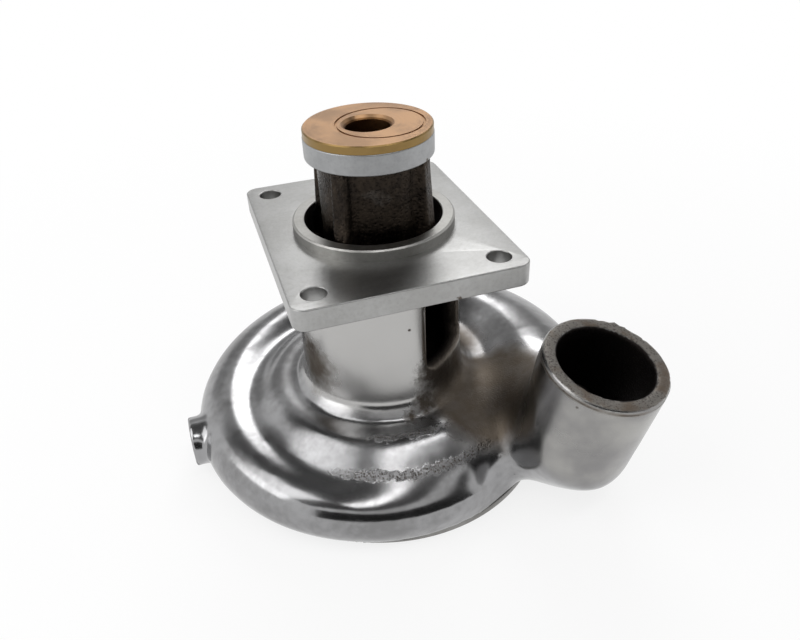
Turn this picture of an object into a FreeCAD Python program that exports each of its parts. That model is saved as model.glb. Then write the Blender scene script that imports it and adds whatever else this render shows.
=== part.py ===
import FreeCAD, Part
import math
import os
import Sketcher

# Volute pump casing with a bearing tower, and the flanged bush pressed into the tower's head.
# Millimetres, +Z up. The origin is on the pump axis in the plane of the underside, where the
# suction cover seats; the adapter flange lies square to X and Y.

SIZES = {
    # adapter flange, its pilot ring and the neck that carries them
    "flange_width": 82.0,
    "flange_length": 100.0,
    "flange_thickness": 8.0,
    "flange_corner_radius": 5.0,
    "flange_top_height": 100.5,
    "bolt_spacing_x": 64.0,
    "bolt_spacing_y": 82.0,
    "bolt_hole_radius": 4.2,
    "pilot_radius": 30.0,
    "pilot_height": 4.2,
    "pilot_chamfer": 0.6,
    "neck_radius": 32.2,
    "neck_bore_radius": 25.4,
    "gland_floor_height": 43.0,
    "neck_fillet_radius": 2.2,
    # window in the neck
    "window_azimuth": -45.0,
    "window_width": 30.0,
    "window_bottom_height": 50.0,
    "window_top_height": 82.0,
    "window_corner_radius": 4.0,
    # bearing tower
    "tower_radius": 19.0,
    "tower_foot_height": 70.0,
    "tower_head_radius": 23.0,
    "tower_head_top": 135.5,
    "tower_head_thickness": 7.4,
    "tower_bore_radius": 11.5,
    "rib_count": 4.0,
    "rib_azimuth": -45.0,
    "rib_thickness": 6.2,
    "rib_top_radius": 22.4,
    "rib_pilot_radius": 23.8,
    "rib_foot_height": 84.0,
    "rib_root_depth": 1.5,
    # stepped roof and the lip under it
    "lip_radius": 65.8,
    "lip_height": 3.0,
    "rim_wall_radius": 60.0,
    "shoulder_radius": 46.0,
    "shoulder_height": 33.5,
    "shoulder_round": 3.0,
    "slope_foot_height": 23.5,
    # impeller chamber and the cover joint
    "register_radius": 55.0,
    "chamber_edge_height": 21.0,
    "chamber_roof_radius": 44.0,
    "chamber_roof_height": 26.0,
    "seal_bore_radius": 9.0,
    "cover_screw_count": 6.0,
    "cover_screw_circle_radius": 60.4,
    "cover_screw_radius": 1.65,
    "cover_screw_depth": 5.2,
    # scroll, as seen from above it grows clockwise
    "scroll_centre_x": -2.9,
    "scroll_centre_y": 0.7,
    "scroll_start_azimuth": -35.0,
    "scroll_travel": 335.3,
    "centreline_start_radius": 57.5,
    "centreline_end_radius": 68.1,
    "tube_start_radius": 8.2,
    "tube_end_radius": 21.8,
    "tube_floor_height": 0.8,
    "casting_wall": 5.2,
    "passage_floor_height": 7.0,
    "tongue_travel": 25.0,
    # discharge
    "discharge_run": 49.1,
    "elbow_cut": 6.0,
    "riser_radius": 22.6,
    "riser_length": 44.8,
    "riser_lean": 13.6,
    "riser_lean_azimuth": -52.5,
    "mouth_chamfer": 1.2,
    "elbow_core_swell": 0.6,
    # drain boss
    "drain_boss_radius": 10.1,
    "drain_boss_reach": 83.0,
    "drain_boss_y": 3.2,
    "drain_boss_height": 14.4,
    "drain_thread_radius": 5.9,
    "drain_thread_depth": 14.0,
    "drain_port_radius": 4.0,
    # flanged bush
    "bush_flange_radius": 22.8,
    "bush_flange_thickness": 2.9,
    "bush_sleeve_length": 30.0,
    "shaft_bore_radius": 7.95,
    "bush_bore_chamfer": 1.4,
    "bush_edge_chamfer": 0.4,
    "oil_groove_radius": 15.4,
    "oil_groove_offset": 4.3,
    "oil_groove_azimuth": -15.0,
    "oil_groove_width": 0.9,
    "oil_groove_depth": 0.5,
}

SPIRAL_STATIONS = 14
TONGUE_STATIONS = 3
SHORTEST = 0.01
# how far a cutting tool runs past the face that it opens
OVERRUN = 2.0
PAST = " + %g" % OVERRUN
PAST_BOTH = " + %g" % (2.0 * OVERRUN)
BEFORE = " - %g" % OVERRUN

doc = FreeCAD.newDocument("volute_casing")
sheet = doc.addObject("Spreadsheet::Sheet", "Sizes")
for row, (alias, size) in enumerate(SIZES.items(), start=1):
    sheet.set("A%d" % row, alias)
    sheet.set("B%d" % row, str(size))
    sheet.setAlias("B%d" % row, alias)
doc.recompute()

UP = FreeCAD.Vector(0, 0, 1)
ORIGIN = FreeCAD.Vector(0, 0, 0)


def size(alias):
    """A driving size, read back from the sheet."""
    return float(sheet.get(alias))


def in_sheet(expression):
    """The expression with every size's alias named as a cell of the sheet."""
    words = []
    word = ""
    for letter in expression + " ":
        if letter.isalnum() or letter == "_":
            word += letter
            continue
        words.append("Sizes." + word if word in SIZES else word)
        words.append(letter)
        word = ""
    return "".join(words).strip()


def bind(thing, **expressions):
    """Bind properties of an object to expressions in the sheet's sizes."""
    for name, expression in expressions.items():
        thing.setExpression(name.replace("__", "."), in_sheet(expression))
    return thing


def along(azimuth):
    """Unit vector in the XY plane at an azimuth in degrees."""
    return FreeCAD.Vector(math.cos(math.radians(azimuth)), math.sin(math.radians(azimuth)), 0)


def cylinder(name, radius, height, bottom):
    """Upright cylinder on the pump axis, bound to the sheet."""
    made = doc.addObject("Part::Cylinder", name)
    return bind(made, Radius=radius, Height=height, Placement__Base__z=bottom)


def round_bar(name, radius, start, direction, length):
    """Cylinder of a sheet radius from a point along a direction."""
    made = doc.addObject("Part::Cylinder", name)
    bind(made, Radius=radius)
    made.Height = length
    made.Placement = FreeCAD.Placement(start, FreeCAD.Rotation(UP, direction))
    return made


def ball(name, radius, centre, pole):
    """Sphere of a sheet radius at a point, its poles on a direction."""
    made = doc.addObject("Part::Sphere", name)
    bind(made, Radius=radius)
    made.Placement = FreeCAD.Placement(centre, FreeCAD.Rotation(UP, pole))
    return made


def outline(name, points):
    """Closed straight-sided sketch in the XZ plane; each corner is an (x, z) pair of expressions."""
    sketch = doc.addObject("Sketcher::SketchObject", name)
    sketch.Placement = FreeCAD.Placement(ORIGIN, FreeCAD.Rotation(FreeCAD.Vector(1, 0, 0), 90))
    draw_outline(sketch, points)
    return sketch


def draw_outline(sketch, points):
    """Draw a closed straight-sided outline in a sketch and hold each corner by its expressions."""
    values = [tuple(sheet_value(part) for part in point) for point in points]
    for (x1, z1), (x2, z2) in zip(values, values[1:] + values[:1]):
        line = Part.LineSegment(FreeCAD.Vector(x1, z1, 0), FreeCAD.Vector(x2, z2, 0))
        sketch.addGeometry(line, False)
    count = len(points)
    for index in range(count):
        sketch.addConstraint(Sketcher.Constraint("Coincident", index, 2, (index + 1) % count, 1))
    for index, (x_rule, z_rule) in enumerate(points):
        place_corner(sketch, index, "DistanceX", -2, x_rule, values[index][0])
        place_corner(sketch, index, "DistanceY", -1, z_rule, values[index][1])


def place_corner(sketch, index, kind, axis, rule, value):
    """Hold one coordinate of a sketch corner: on its axis if zero, else at a bound distance."""
    if rule == "0":
        sketch.addConstraint(Sketcher.Constraint("PointOnObject", index, 1, axis))
        return
    number = sketch.addConstraint(Sketcher.Constraint(kind, -1, 1, index, 1, value))
    sketch.setExpression("Constraints[%d]" % number, in_sheet(rule))


def sheet_value(rule):
    """Number that an expression in the sheet's sizes gives now."""
    return float(sheet.evalExpression(in_sheet(rule)))


def revolved(name, sketch):
    """Solid of revolution of an XZ sketch about the pump axis."""
    made = doc.addObject("Part::Revolution", name)
    made.Source = sketch
    made.Axis = UP
    made.Base = ORIGIN
    made.Angle = 360.0
    made.Solid = True
    return made


def fused(name, pieces):
    """Union of several solids, with the seams between like faces taken out."""
    made = doc.addObject("Part::MultiFuse", name)
    made.Shapes = pieces
    made.Refine = True
    return made


def cut(name, base, tool):
    """One solid with another taken out of it."""
    made = doc.addObject("Part::Cut", name)
    made.Base = base
    made.Tool = tool
    made.Refine = True
    return made


def rounded(name, base, radius, wanted):
    """Fillet the edges of a solid that a test picks."""
    doc.recompute()
    picked = [index for index, edge in enumerate(base.Shape.Edges, start=1) if wanted(edge)]
    made = doc.addObject("Part::Fillet", name)
    made.Base = base
    made.Edges = [(index, radius, radius) for index in picked]
    return made


def bevelled(name, base, width, wanted):
    """Chamfer the edges of a solid that a test picks."""
    doc.recompute()
    picked = [index for index, edge in enumerate(base.Shape.Edges, start=1) if wanted(edge)]
    made = doc.addObject("Part::Chamfer", name)
    made.Base = base
    made.Edges = [(index, width, width) for index in picked]
    return made


def is_ring(edge, radius, height):
    """True for a full circle about the pump axis with this radius at this height."""
    if not isinstance(edge.Curve, Part.Circle):
        return False
    centre = edge.Curve.Center
    level = abs(centre.z - height) < SHORTEST and math.hypot(centre.x, centre.y) < SHORTEST
    return level and abs(edge.Curve.Radius - radius) < SHORTEST


# ---------------------------------------------------------------- scroll and discharge

scroll_centre = FreeCAD.Vector(size("scroll_centre_x"), size("scroll_centre_y"), 0)
scroll_end_azimuth = size("scroll_start_azimuth") - size("scroll_travel")
run_direction = along(scroll_end_azimuth).cross(UP)
riser_direction = along(size("riser_lean_azimuth")) * math.sin(math.radians(size("riser_lean")))
riser_direction += UP * math.cos(math.radians(size("riser_lean")))

TUBE_RADIUS = "tube_start_radius + (tube_end_radius - tube_start_radius) * %s"
CENTRELINE_RADIUS = "centreline_start_radius + (centreline_end_radius - centreline_start_radius) * %s"


def scroll_frame(travel):
    """Point of the scroll's centreline in plan and its outward azimuth after some travel."""
    azimuth = size("scroll_start_azimuth") - travel
    share = travel / size("scroll_travel")
    reach = sheet_value(CENTRELINE_RADIUS % share)
    return scroll_centre + along(azimuth) * reach, azimuth


def section(name, plan_point, azimuth, radius, floor):
    """Upright round section of a tube that runs clockwise, standing on its floor height."""
    made = doc.addObject("Part::Circle", name)
    bind(made, Radius=radius, Placement__Base__z="%s + %s" % (floor, radius))
    turn = FreeCAD.Rotation(UP, azimuth)
    made.Placement = FreeCAD.Placement(plan_point, turn * FreeCAD.Rotation(FreeCAD.Vector(1, 0, 0), 90))
    return made


def spiral_sections(name, first_travel, last_travel, count, radius_rule, floor):
    """Evenly spaced sections of a tube between two travels round the scroll."""
    sections = []
    for index in range(count):
        travel = first_travel + (last_travel - first_travel) * index / (count - 1)
        point, azimuth = scroll_frame(travel)
        rule = radius_rule % (travel / size("scroll_travel"))
        sections.append(section("%s_station_%02d" % (name, index), point, azimuth, rule, floor))
    return sections


def loft(name, sections):
    """Smooth solid through a row of sections."""
    made = doc.addObject("Part::Loft", name)
    made.Sections = sections
    made.Solid = True
    made.Ruled = False
    return made


def scroll_tube(name, radius_rule, end_radius, floor):
    """Loft from the tongue round the scroll and straight on to the elbow, growing as it goes."""
    last = size("scroll_travel")
    sections = spiral_sections(name, size("tongue_travel"), last, SPIRAL_STATIONS, radius_rule, floor)
    straight = size("discharge_run") - size("elbow_cut")
    point, azimuth = scroll_frame(last)
    for index, share in enumerate((0.5, 1.0)):
        along_run = point + run_direction * straight * share
        rule = "(%s) * %s + (%s) * %s" % (radius_rule % 1.0, 1.0 - share, end_radius, share)
        sections.append(section("%s_run_%d" % (name, index), along_run, azimuth, rule, floor))
    return loft(name, sections)


def elbow_points(radius, floor):
    """The two turning points of the elbow and the far end of the riser."""
    point, _ = scroll_frame(size("scroll_travel"))
    level = sheet_value("%s + %s" % (floor, radius))
    corner = point + run_direction * size("discharge_run") + UP * level
    first = corner - run_direction * size("elbow_cut")
    second = corner + riser_direction * size("elbow_cut")
    return first, second, corner


def elbow_and_riser(name, radius, turn_radius, floor, overrun):
    """Balls at the elbow's two turns, the bar between them and the leaning riser."""
    first, second, corner = elbow_points(radius, floor)
    _, _, outer_corner = elbow_points("riser_radius", "tube_floor_height")
    mouth = outer_corner + riser_direction * (size("riser_length") + overrun)
    between = second - first
    rising = mouth - second
    return [
        ball(name + "_first_turn", turn_radius, first, run_direction),
        ball(name + "_second_turn", turn_radius, second, riser_direction),
        round_bar(name + "_bend", turn_radius, first, between, between.Length),
        round_bar(name + "_riser", radius, second, rising, rising.Length),
    ]


tube_outside = scroll_tube("tube", TUBE_RADIUS, "riser_radius", "tube_floor_height")
tongue = loft("tongue", spiral_sections("tongue", 0.0, size("tongue_travel"), TONGUE_STATIONS,
                                        TUBE_RADIUS, "tube_floor_height"))
elbow_outside = elbow_and_riser("outlet", "riser_radius", "riser_radius", "tube_floor_height", 0.0)
plain_riser = elbow_outside.pop()
mouth_centre = plain_riser.Placement.multVec(UP * plain_riser.Height.Value)
elbow_outside.append(bevelled("outlet_spigot", plain_riser, size("mouth_chamfer"), lambda edge: (
    isinstance(edge.Curve, Part.Circle) and (edge.Curve.Center - mouth_centre).Length < SHORTEST)))

passage_radius = "(" + TUBE_RADIUS + " - casting_wall)"
mouth_radius = "(riser_radius - casting_wall)"
tube_inside = scroll_tube("passage", passage_radius, mouth_radius, "passage_floor_height")
elbow_inside = elbow_and_riser("outlet_bore", mouth_radius, mouth_radius + " + elbow_core_swell",
                               "passage_floor_height", OVERRUN)

# ---------------------------------------------------------------- roof, neck and flange

flange_underside = "flange_top_height - flange_thickness"
hub = revolved("hub", outline("hub_outline", [
    ("0", "0"),
    ("lip_radius", "0"),
    ("lip_radius", "lip_height"),
    ("rim_wall_radius", "lip_height + lip_radius - rim_wall_radius"),
    ("rim_wall_radius", "slope_foot_height"),
    ("shoulder_radius", "shoulder_height"),
    ("neck_radius", "shoulder_height"),
    ("neck_radius", flange_underside),
    ("0", flange_underside),
]))
hub_rounded = rounded("hub_rounded", hub, size("shoulder_round"), lambda edge: is_ring(
    edge, size("shoulder_radius"), size("shoulder_height")))
hub_blended = rounded("hub_blended", hub_rounded, size("neck_fillet_radius"), lambda edge: is_ring(
    edge, size("neck_radius"), size("shoulder_height")))

plate = doc.addObject("Part::Box", "flange_plate")
bind(plate, Length="flange_width", Width="flange_length", Height="flange_thickness",
     Placement__Base__x="-flange_width / 2", Placement__Base__y="-flange_length / 2",
     Placement__Base__z=flange_underside)
flange = rounded("flange", plate, size("flange_corner_radius"), lambda edge: abs(
    edge.tangentAt(edge.FirstParameter).z) > 0.5)
pilot = bevelled("pilot", cylinder("pilot_ring", "pilot_radius", "pilot_height + flange_thickness",
                                   flange_underside),
                 size("pilot_chamfer"), lambda edge: is_ring(
                     edge, size("pilot_radius"), size("flange_top_height") + size("pilot_height")))

# ---------------------------------------------------------------- bearing tower

head_bottom = "tower_head_top - tower_head_thickness"
tower = cylinder("tower", "tower_radius", head_bottom + " - tower_foot_height", "tower_foot_height")
head = cylinder("tower_head", "tower_head_radius", "tower_head_thickness", head_bottom)


def rib(index):
    """One upright rib from the tower to the neck's bore wall."""
    sketch = outline("rib_outline_%d" % index, [
        ("0", "rib_foot_height"),
        ("neck_bore_radius + rib_root_depth", "rib_foot_height"),
        ("neck_bore_radius + rib_root_depth", "flange_top_height - rib_root_depth"),
        ("rib_pilot_radius", "flange_top_height + rib_root_depth"),
        ("rib_top_radius", head_bottom + " + rib_root_depth"),
        ("0", head_bottom + " + rib_root_depth"),
    ])
    azimuth = size("rib_azimuth") + 360.0 * index / size("rib_count")
    turn = FreeCAD.Rotation(UP, azimuth)
    sketch.Placement = FreeCAD.Placement(ORIGIN, turn * FreeCAD.Rotation(FreeCAD.Vector(1, 0, 0), 90))
    made = doc.addObject("Part::Extrusion", "rib_%d" % index)
    made.Base = sketch
    made.DirMode = "Normal"
    made.Solid = True
    made.Symmetric = True
    return bind(made, LengthFwd="rib_thickness")


ribs = [rib(index) for index in range(int(size("rib_count")))]

# ---------------------------------------------------------------- drain boss

drain_start = FreeCAD.Vector(-size("centreline_start_radius"), size("drain_boss_y"),
                             size("drain_boss_height"))
boss_length = size("drain_boss_reach") - size("centreline_start_radius")
drain_boss = round_bar("drain_boss", "drain_boss_radius", drain_start, along(180.0), boss_length)

# ---------------------------------------------------------------- hollows

chamber = revolved("chamber", outline("chamber_outline", [
    ("0", "-lip_height"),
    ("register_radius", "-lip_height"),
    ("register_radius", "chamber_edge_height"),
    ("chamber_roof_radius", "chamber_roof_height"),
    ("0", "chamber_roof_height"),
]))
seal_bore = cylinder("seal_bore", "seal_bore_radius",
                     "gland_floor_height - chamber_edge_height" + PAST, "chamber_edge_height")
neck_bore = cylinder("neck_bore", "neck_bore_radius",
                     "flange_top_height + pilot_height - gland_floor_height" + PAST, "gland_floor_height")

window_block = doc.addObject("Part::Box", "window_block")
bind(window_block, Length="neck_radius" + PAST, Width="window_width",
     Height="window_top_height - window_bottom_height")
doc.recompute()
window = rounded("window", window_block, size("window_corner_radius"), lambda edge: abs(
    edge.tangentAt(edge.FirstParameter).x) > 0.5)
window_corner = along(size("window_azimuth") - 90.0) * (size("window_width") / 2)
window.Placement = FreeCAD.Placement(
    window_corner + UP * size("window_bottom_height"), FreeCAD.Rotation(UP, size("window_azimuth")))

tower_bore = cylinder("tower_bore", "tower_bore_radius",
                      "tower_head_top - tower_foot_height" + PAST_BOTH, "tower_foot_height" + BEFORE)


def bolt_hole(name, x_side, y_side):
    """Clearance hole through the flange at one corner of the bolt rectangle."""
    made = cylinder(name, "bolt_hole_radius", "flange_thickness" + PAST_BOTH, flange_underside + BEFORE)
    return bind(made, Placement__Base__x="%d * bolt_spacing_x / 2" % x_side,
                Placement__Base__y="%d * bolt_spacing_y / 2" % y_side)


bolt_holes = [bolt_hole("bolt_hole_%d_%d" % (i, j), 2 * i - 1, 2 * j - 1)
              for i in (0, 1) for j in (0, 1)]


def cover_screw_hole(index):
    """Blind tapped hole in the lip's underside."""
    made = cylinder("cover_screw_hole_%d" % index, "cover_screw_radius", "cover_screw_depth" + PAST,
                    "0" + BEFORE)
    spot = along(30.0 + 360.0 * index / size("cover_screw_count")) * size("cover_screw_circle_radius")
    made.Placement.Base = FreeCAD.Vector(spot.x, spot.y, made.Placement.Base.z)
    return made


cover_screw_holes = [cover_screw_hole(index) for index in range(int(size("cover_screw_count")))]

drain_mouth = drain_start + along(180.0) * (boss_length + OVERRUN)
drain_thread = round_bar("drain_thread", "drain_thread_radius", drain_mouth, along(0.0),
                         size("drain_thread_depth") + OVERRUN)
drain_port = round_bar("drain_port", "drain_port_radius", drain_mouth, along(0.0), boss_length)

# ---------------------------------------------------------------- the casting

shell = fused("shell", [hub_blended, tube_outside, tongue, drain_boss] + elbow_outside)
top = fused("top", [shell, flange, pilot])
hollow = fused("hollow", [chamber, tube_inside] + elbow_inside)
opened = cut("opened", top, hollow)
bored = cut("bored", opened, fused("bores", [neck_bore, seal_bore, window] + bolt_holes
                                   + cover_screw_holes + [drain_thread, drain_port]))
bearing_tower = cut("bearing_tower", fused("tower_and_ribs", [tower, head] + ribs), tower_bore)
casing = fused("pump_casing", [bored, bearing_tower])
casing.Label = "pump_casing"

# ---------------------------------------------------------------- flanged bush

bush = doc.addObject("PartDesign::Body", "thrust_bush")
bush.Label = "thrust_bush"


def body_plane(body, role):
    """One of a body's own origin planes."""
    return next(feature for feature in body.Origin.OriginFeatures if feature.Role == role)


def bush_profile():
    """Half section of the bush: sleeve, flange and bore, with its chamfers."""
    sketch = bush.newObject("Sketcher::SketchObject", "bush_profile")
    sketch.AttachmentSupport = [(body_plane(bush, "XZ_Plane"), "")]
    sketch.MapMode = "FlatFace"
    flange_top = "tower_head_top + bush_flange_thickness"
    sleeve_end = "tower_head_top - bush_sleeve_length"
    points = [
        ("shaft_bore_radius", sleeve_end),
        ("tower_bore_radius - bush_edge_chamfer", sleeve_end),
        ("tower_bore_radius", sleeve_end + " + bush_edge_chamfer"),
        ("tower_bore_radius", "tower_head_top"),
        ("bush_flange_radius", "tower_head_top"),
        ("bush_flange_radius", flange_top + " - bush_edge_chamfer"),
        ("bush_flange_radius - bush_edge_chamfer", flange_top),
        ("shaft_bore_radius + bush_bore_chamfer", flange_top),
        ("shaft_bore_radius", flange_top + " - bush_bore_chamfer"),
    ]
    draw_outline(sketch, points)
    return sketch


turned = bush.newObject("PartDesign::Revolution", "bush_turned")
turned.Profile = bush_profile()
turned.ReferenceAxis = (turned.Profile[0], ["V_Axis"])
turned.Angle = 360.0
doc.recompute()

groove_sketch = bush.newObject("Sketcher::SketchObject", "oil_groove_sketch")
groove_sketch.AttachmentSupport = [(body_plane(bush, "XY_Plane"), "")]
groove_sketch.MapMode = "FlatFace"
bind(groove_sketch, AttachmentOffset__Base__z="tower_head_top + bush_flange_thickness")
groove_centre = along(size("oil_groove_azimuth")) * size("oil_groove_offset")
for sign in ("+", "-"):
    edge_rule = "oil_groove_radius %s oil_groove_width / 2" % sign
    ring = groove_sketch.addGeometry(Part.Circle(groove_centre, UP, sheet_value(edge_rule)), False)
    reach = groove_sketch.addConstraint(Sketcher.Constraint("Radius", ring, sheet_value(edge_rule)))
    groove_sketch.setExpression("Constraints[%d]" % reach, in_sheet(edge_rule))
groove = bush.newObject("PartDesign::Pocket", "oil_groove")
groove.Profile = groove_sketch
bind(groove, Length="oil_groove_depth")
solid_before = turned.Shape.Volume
bush.Tip = groove
doc.recompute()

# ---------------------------------------------------------------- checks and files

NODES = {"pump_casing": casing, "thrust_bush": bush}

failed = [thing.Name for thing in doc.Objects if {"Invalid", "Error"} & set(thing.State)]
if failed:
    raise RuntimeError("features that did not build: " + ", ".join(failed))
if bush.Shape.Volume >= solid_before:
    raise RuntimeError("the oil groove cut nothing")
os.makedirs("parts", exist_ok=True)
for node, thing in NODES.items():
    if thing.Shape.isNull() or not thing.Shape.isValid() or len(thing.Shape.Solids) != 1:
        raise RuntimeError(node + " is not one sound solid")
for node, thing in NODES.items():
    thing.Shape.exportStep("parts/%s.step" % node)
    print(node, round(thing.Shape.Volume), "mm3")
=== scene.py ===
"""Dressed model of a cast volute pump casing with its bearing tower and pressed-in bush.

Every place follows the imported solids. The casting's skin is worked out as one blended body, so
that the walls run into each other as they do in a casting, and the turned faces are lathed.
Sizes are in metres unless a name says otherwise.
"""

import logging
import math
from dataclasses import dataclass, field
from enum import Enum
from typing import Callable, Optional, Sequence, Union

import bmesh
import bpy
import numpy as np
from mathutils import Matrix, Vector

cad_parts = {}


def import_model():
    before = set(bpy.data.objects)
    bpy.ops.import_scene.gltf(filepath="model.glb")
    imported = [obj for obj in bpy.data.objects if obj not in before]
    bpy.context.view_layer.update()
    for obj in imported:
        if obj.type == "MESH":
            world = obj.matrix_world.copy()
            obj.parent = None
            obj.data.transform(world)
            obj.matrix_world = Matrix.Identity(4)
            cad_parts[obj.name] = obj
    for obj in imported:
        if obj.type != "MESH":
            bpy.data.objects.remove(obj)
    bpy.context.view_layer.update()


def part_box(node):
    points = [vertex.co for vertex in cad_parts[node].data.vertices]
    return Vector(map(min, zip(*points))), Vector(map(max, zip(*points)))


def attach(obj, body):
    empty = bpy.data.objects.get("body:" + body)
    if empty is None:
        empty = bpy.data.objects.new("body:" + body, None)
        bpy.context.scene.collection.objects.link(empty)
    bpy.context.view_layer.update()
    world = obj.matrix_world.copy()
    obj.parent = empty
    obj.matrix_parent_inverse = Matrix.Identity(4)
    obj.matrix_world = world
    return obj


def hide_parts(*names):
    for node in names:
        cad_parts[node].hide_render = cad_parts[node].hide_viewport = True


LOG = logging.getLogger("volute_casing")
MM = 0.001

Field = tuple[np.ndarray, np.ndarray]
Reading = Union[float, np.ndarray]
Span = tuple[float, float]
Triple = tuple[float, float, float]


class Slot(Enum):
    """Name of a material slot."""

    ALUMINIUM = "cast_aluminium"


class Node(Enum):
    """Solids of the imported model."""

    CASING = "pump_casing"
    BUSH = "thrust_bush"


# ------------------------------------------------------------------ node trees

Socket = bpy.types.NodeSocket
Feed = Union[float, Sequence[float], Socket, "Signal"]
MEASURES = ("DISTANCE", "DOT_PRODUCT", "LENGTH")


@dataclass(frozen=True)
class Signal:
    """An output in a node tree that can be reckoned with like a number."""

    desk: "Desk"
    socket: Socket

    def __add__(self, other: Feed) -> "Signal":
        """Put in a sum."""
        return self.desk.math("ADD", self, other)

    def __sub__(self, other: Feed) -> "Signal":
        """Put in a difference."""
        return self.desk.math("SUBTRACT", self, other)

    def __mul__(self, other: Feed) -> "Signal":
        """Put in a product."""
        return self.desk.math("MULTIPLY", self, other)

    def __truediv__(self, other: Feed) -> "Signal":
        """Put in a quotient."""
        return self.desk.math("DIVIDE", self, other)


class Desk:
    """Puts nodes and links into one tree with few words."""

    def __init__(self, tree: bpy.types.NodeTree) -> None:
        """Work on a tree."""
        self.tree = tree

    def node(self, kind: str, feeds: Optional[dict] = None, **settings: object) -> bpy.types.Node:
        """Add a node.

        Args:
            kind: Blender's name of the node type.
            feeds: What goes into each input, by name or number.
            settings: Properties of the node.

        Returns:
            The node.
        """
        node = self.tree.nodes.new(kind)
        for name, value in settings.items():
            setattr(node, name, value)
        for key, value in (feeds or {}).items():
            self.feed(node.inputs[key], value)
        return node

    def signal(self, kind: str, feeds: Optional[dict] = None, output: Union[int, str] = 0,
               **settings: object) -> Signal:
        """Add a node and hand out one of its outputs."""
        return Signal(self, self.node(kind, feeds, **settings).outputs[output])

    def feed(self, socket: Socket, value: Feed) -> None:
        """Give a socket a value or link it."""
        if isinstance(value, Signal):
            value = value.socket
        if isinstance(value, bpy.types.NodeSocket):
            self.tree.links.new(value, socket)
        elif socket.type == "RGBA" and len(value) == 3:
            socket.default_value = (*value, 1.0)
        else:
            socket.default_value = value

    def given(self) -> dict[str, Signal]:
        """Inputs of the tree itself, by name."""
        sockets = self.node("NodeGroupInput").outputs
        return {socket.name: Signal(self, socket) for socket in sockets if socket.name}

    def math(self, operation: str, *values: Feed) -> Signal:
        """Result of a Math node."""
        return self.signal("ShaderNodeMath", dict(enumerate(values)), operation=operation)

    def vector(self, operation: str, *values: Feed) -> Signal:
        """Result of a Vector Math node."""
        output = "Value" if operation in MEASURES else "Vector"
        return self.signal("ShaderNodeVectorMath", dict(enumerate(values)), output, operation=operation)

    def ramp(self, value: Feed, low: Feed, high: Feed) -> Signal:
        """Smooth step from 0 at low to 1 at high; low may be above high."""
        feeds = {"Value": value, "From Min": low, "From Max": high}
        return self.signal("ShaderNodeMapRange", feeds, interpolation_type="SMOOTHSTEP")

    def step(self, value: Feed, span: Span, base: float = 0.0) -> Signal:
        """Smooth step of a length over a span in millimetres from some base."""
        return self.ramp(value, (base + span[0]) * MM, (base + span[1]) * MM)

    def mix(self, share: Feed, first: Feed, second: Feed) -> Signal:
        """Colour between two colours."""
        return self.signal("ShaderNodeMix", {0: share, 6: first, 7: second}, 2, data_type="RGBA")

    def coated(self, colour: Feed, *coats: tuple[Feed, Feed]) -> Feed:
        """Lay coats over a colour in turn, each of them a share and a colour."""
        for share, coat in coats:
            colour = self.mix(share, colour, coat)
        return colour

    def blend(self, share: Feed, first: Feed, second: Feed) -> Signal:
        """Number between two numbers."""
        return self.signal("ShaderNodeMix", {0: share, 2: first, 3: second}, data_type="FLOAT")

    def most(self, signals: Sequence[Signal]) -> Signal:
        """Largest of several signals."""
        total = signals[0]
        for signal in signals[1:]:
            total = self.math("MAXIMUM", total, signal)
        return total

    def noise(self, place: Signal, scale: Feed, detail: float = 3.0) -> Signal:
        """Cloudy noise from 0 to 1 at a place."""
        feeds = {"Vector": place, "Scale": scale, "Detail": detail}
        return self.signal("ShaderNodeTexNoise", feeds, "Fac")

    def place(self) -> Signal:
        """Object coordinates, in metres."""
        return self.signal("ShaderNodeTexCoord", output="Object")

    def reach(self, place: Signal) -> Signal:
        """Distance of a place from the pump axis."""
        return self.vector("LENGTH", self.vector("MULTIPLY", place, (1.0, 1.0, 0.0)))

    def part(self, place: Signal, axis: str) -> Signal:
        """X, Y or Z of a place."""
        return self.signal("ShaderNodeSeparateXYZ", {0: place}, axis)

    def show(self, shader: Signal) -> None:
        """Make a shader the surface of the material."""
        self.feed(self.tree.nodes["Material Output"].inputs["Surface"], shader)


# ------------------------------------------------------------------ blended solids


def unit(vectors: np.ndarray) -> np.ndarray:
    """Scale each row to length one."""
    return vectors / np.maximum(np.linalg.norm(vectors, axis=-1, keepdims=True), 1e-9)


def azimuth_vector(degrees: float) -> np.ndarray:
    """Level unit vector at an azimuth."""
    angle = math.radians(degrees)
    return np.array([math.cos(angle), math.sin(angle), 0.0])


def tapered_bar(points: np.ndarray, start: np.ndarray, end: np.ndarray,
                start_radius: float, end_radius: Optional[float] = None) -> Field:
    """Distance to a round bar with ball ends whose radius changes evenly.

    Args:
        points: Places to measure, one per row.
        start: Centre of the first ball.
        end: Centre of the last ball.
        start_radius: Radius at the start.
        end_radius: Radius at the end, if it is another.

    Returns:
        Signed distance and outward direction at each place.
    """
    run = end - start
    share = np.clip((points - start) @ run / (run @ run), 0.0, 1.0)
    offset = points - start - share[:, None] * run
    reach = np.linalg.norm(offset, axis=1)
    gain = 0.0 if end_radius is None else end_radius - start_radius
    radius = start_radius + gain * share
    return reach - radius, offset / np.maximum(reach, 1e-9)[:, None]


def upright(points: np.ndarray, radius: float) -> Field:
    """Distance to an endless cylinder on the pump axis, and its outward direction."""
    level = points * np.array([1.0, 1.0, 0.0])
    reach = np.linalg.norm(level, axis=1)
    return reach - radius, level / np.maximum(reach, 1e-9)[:, None]


def above(points: np.ndarray, height: float) -> Field:
    """Distance to everything below a level, and its outward direction."""
    return points[:, 2] - height, np.broadcast_to(np.array([0.0, 0.0, 1.0]), points.shape)


def flipped(shape: Field) -> Field:
    """Turn a solid into the space round it."""
    return -shape[0], -shape[1]


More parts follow.
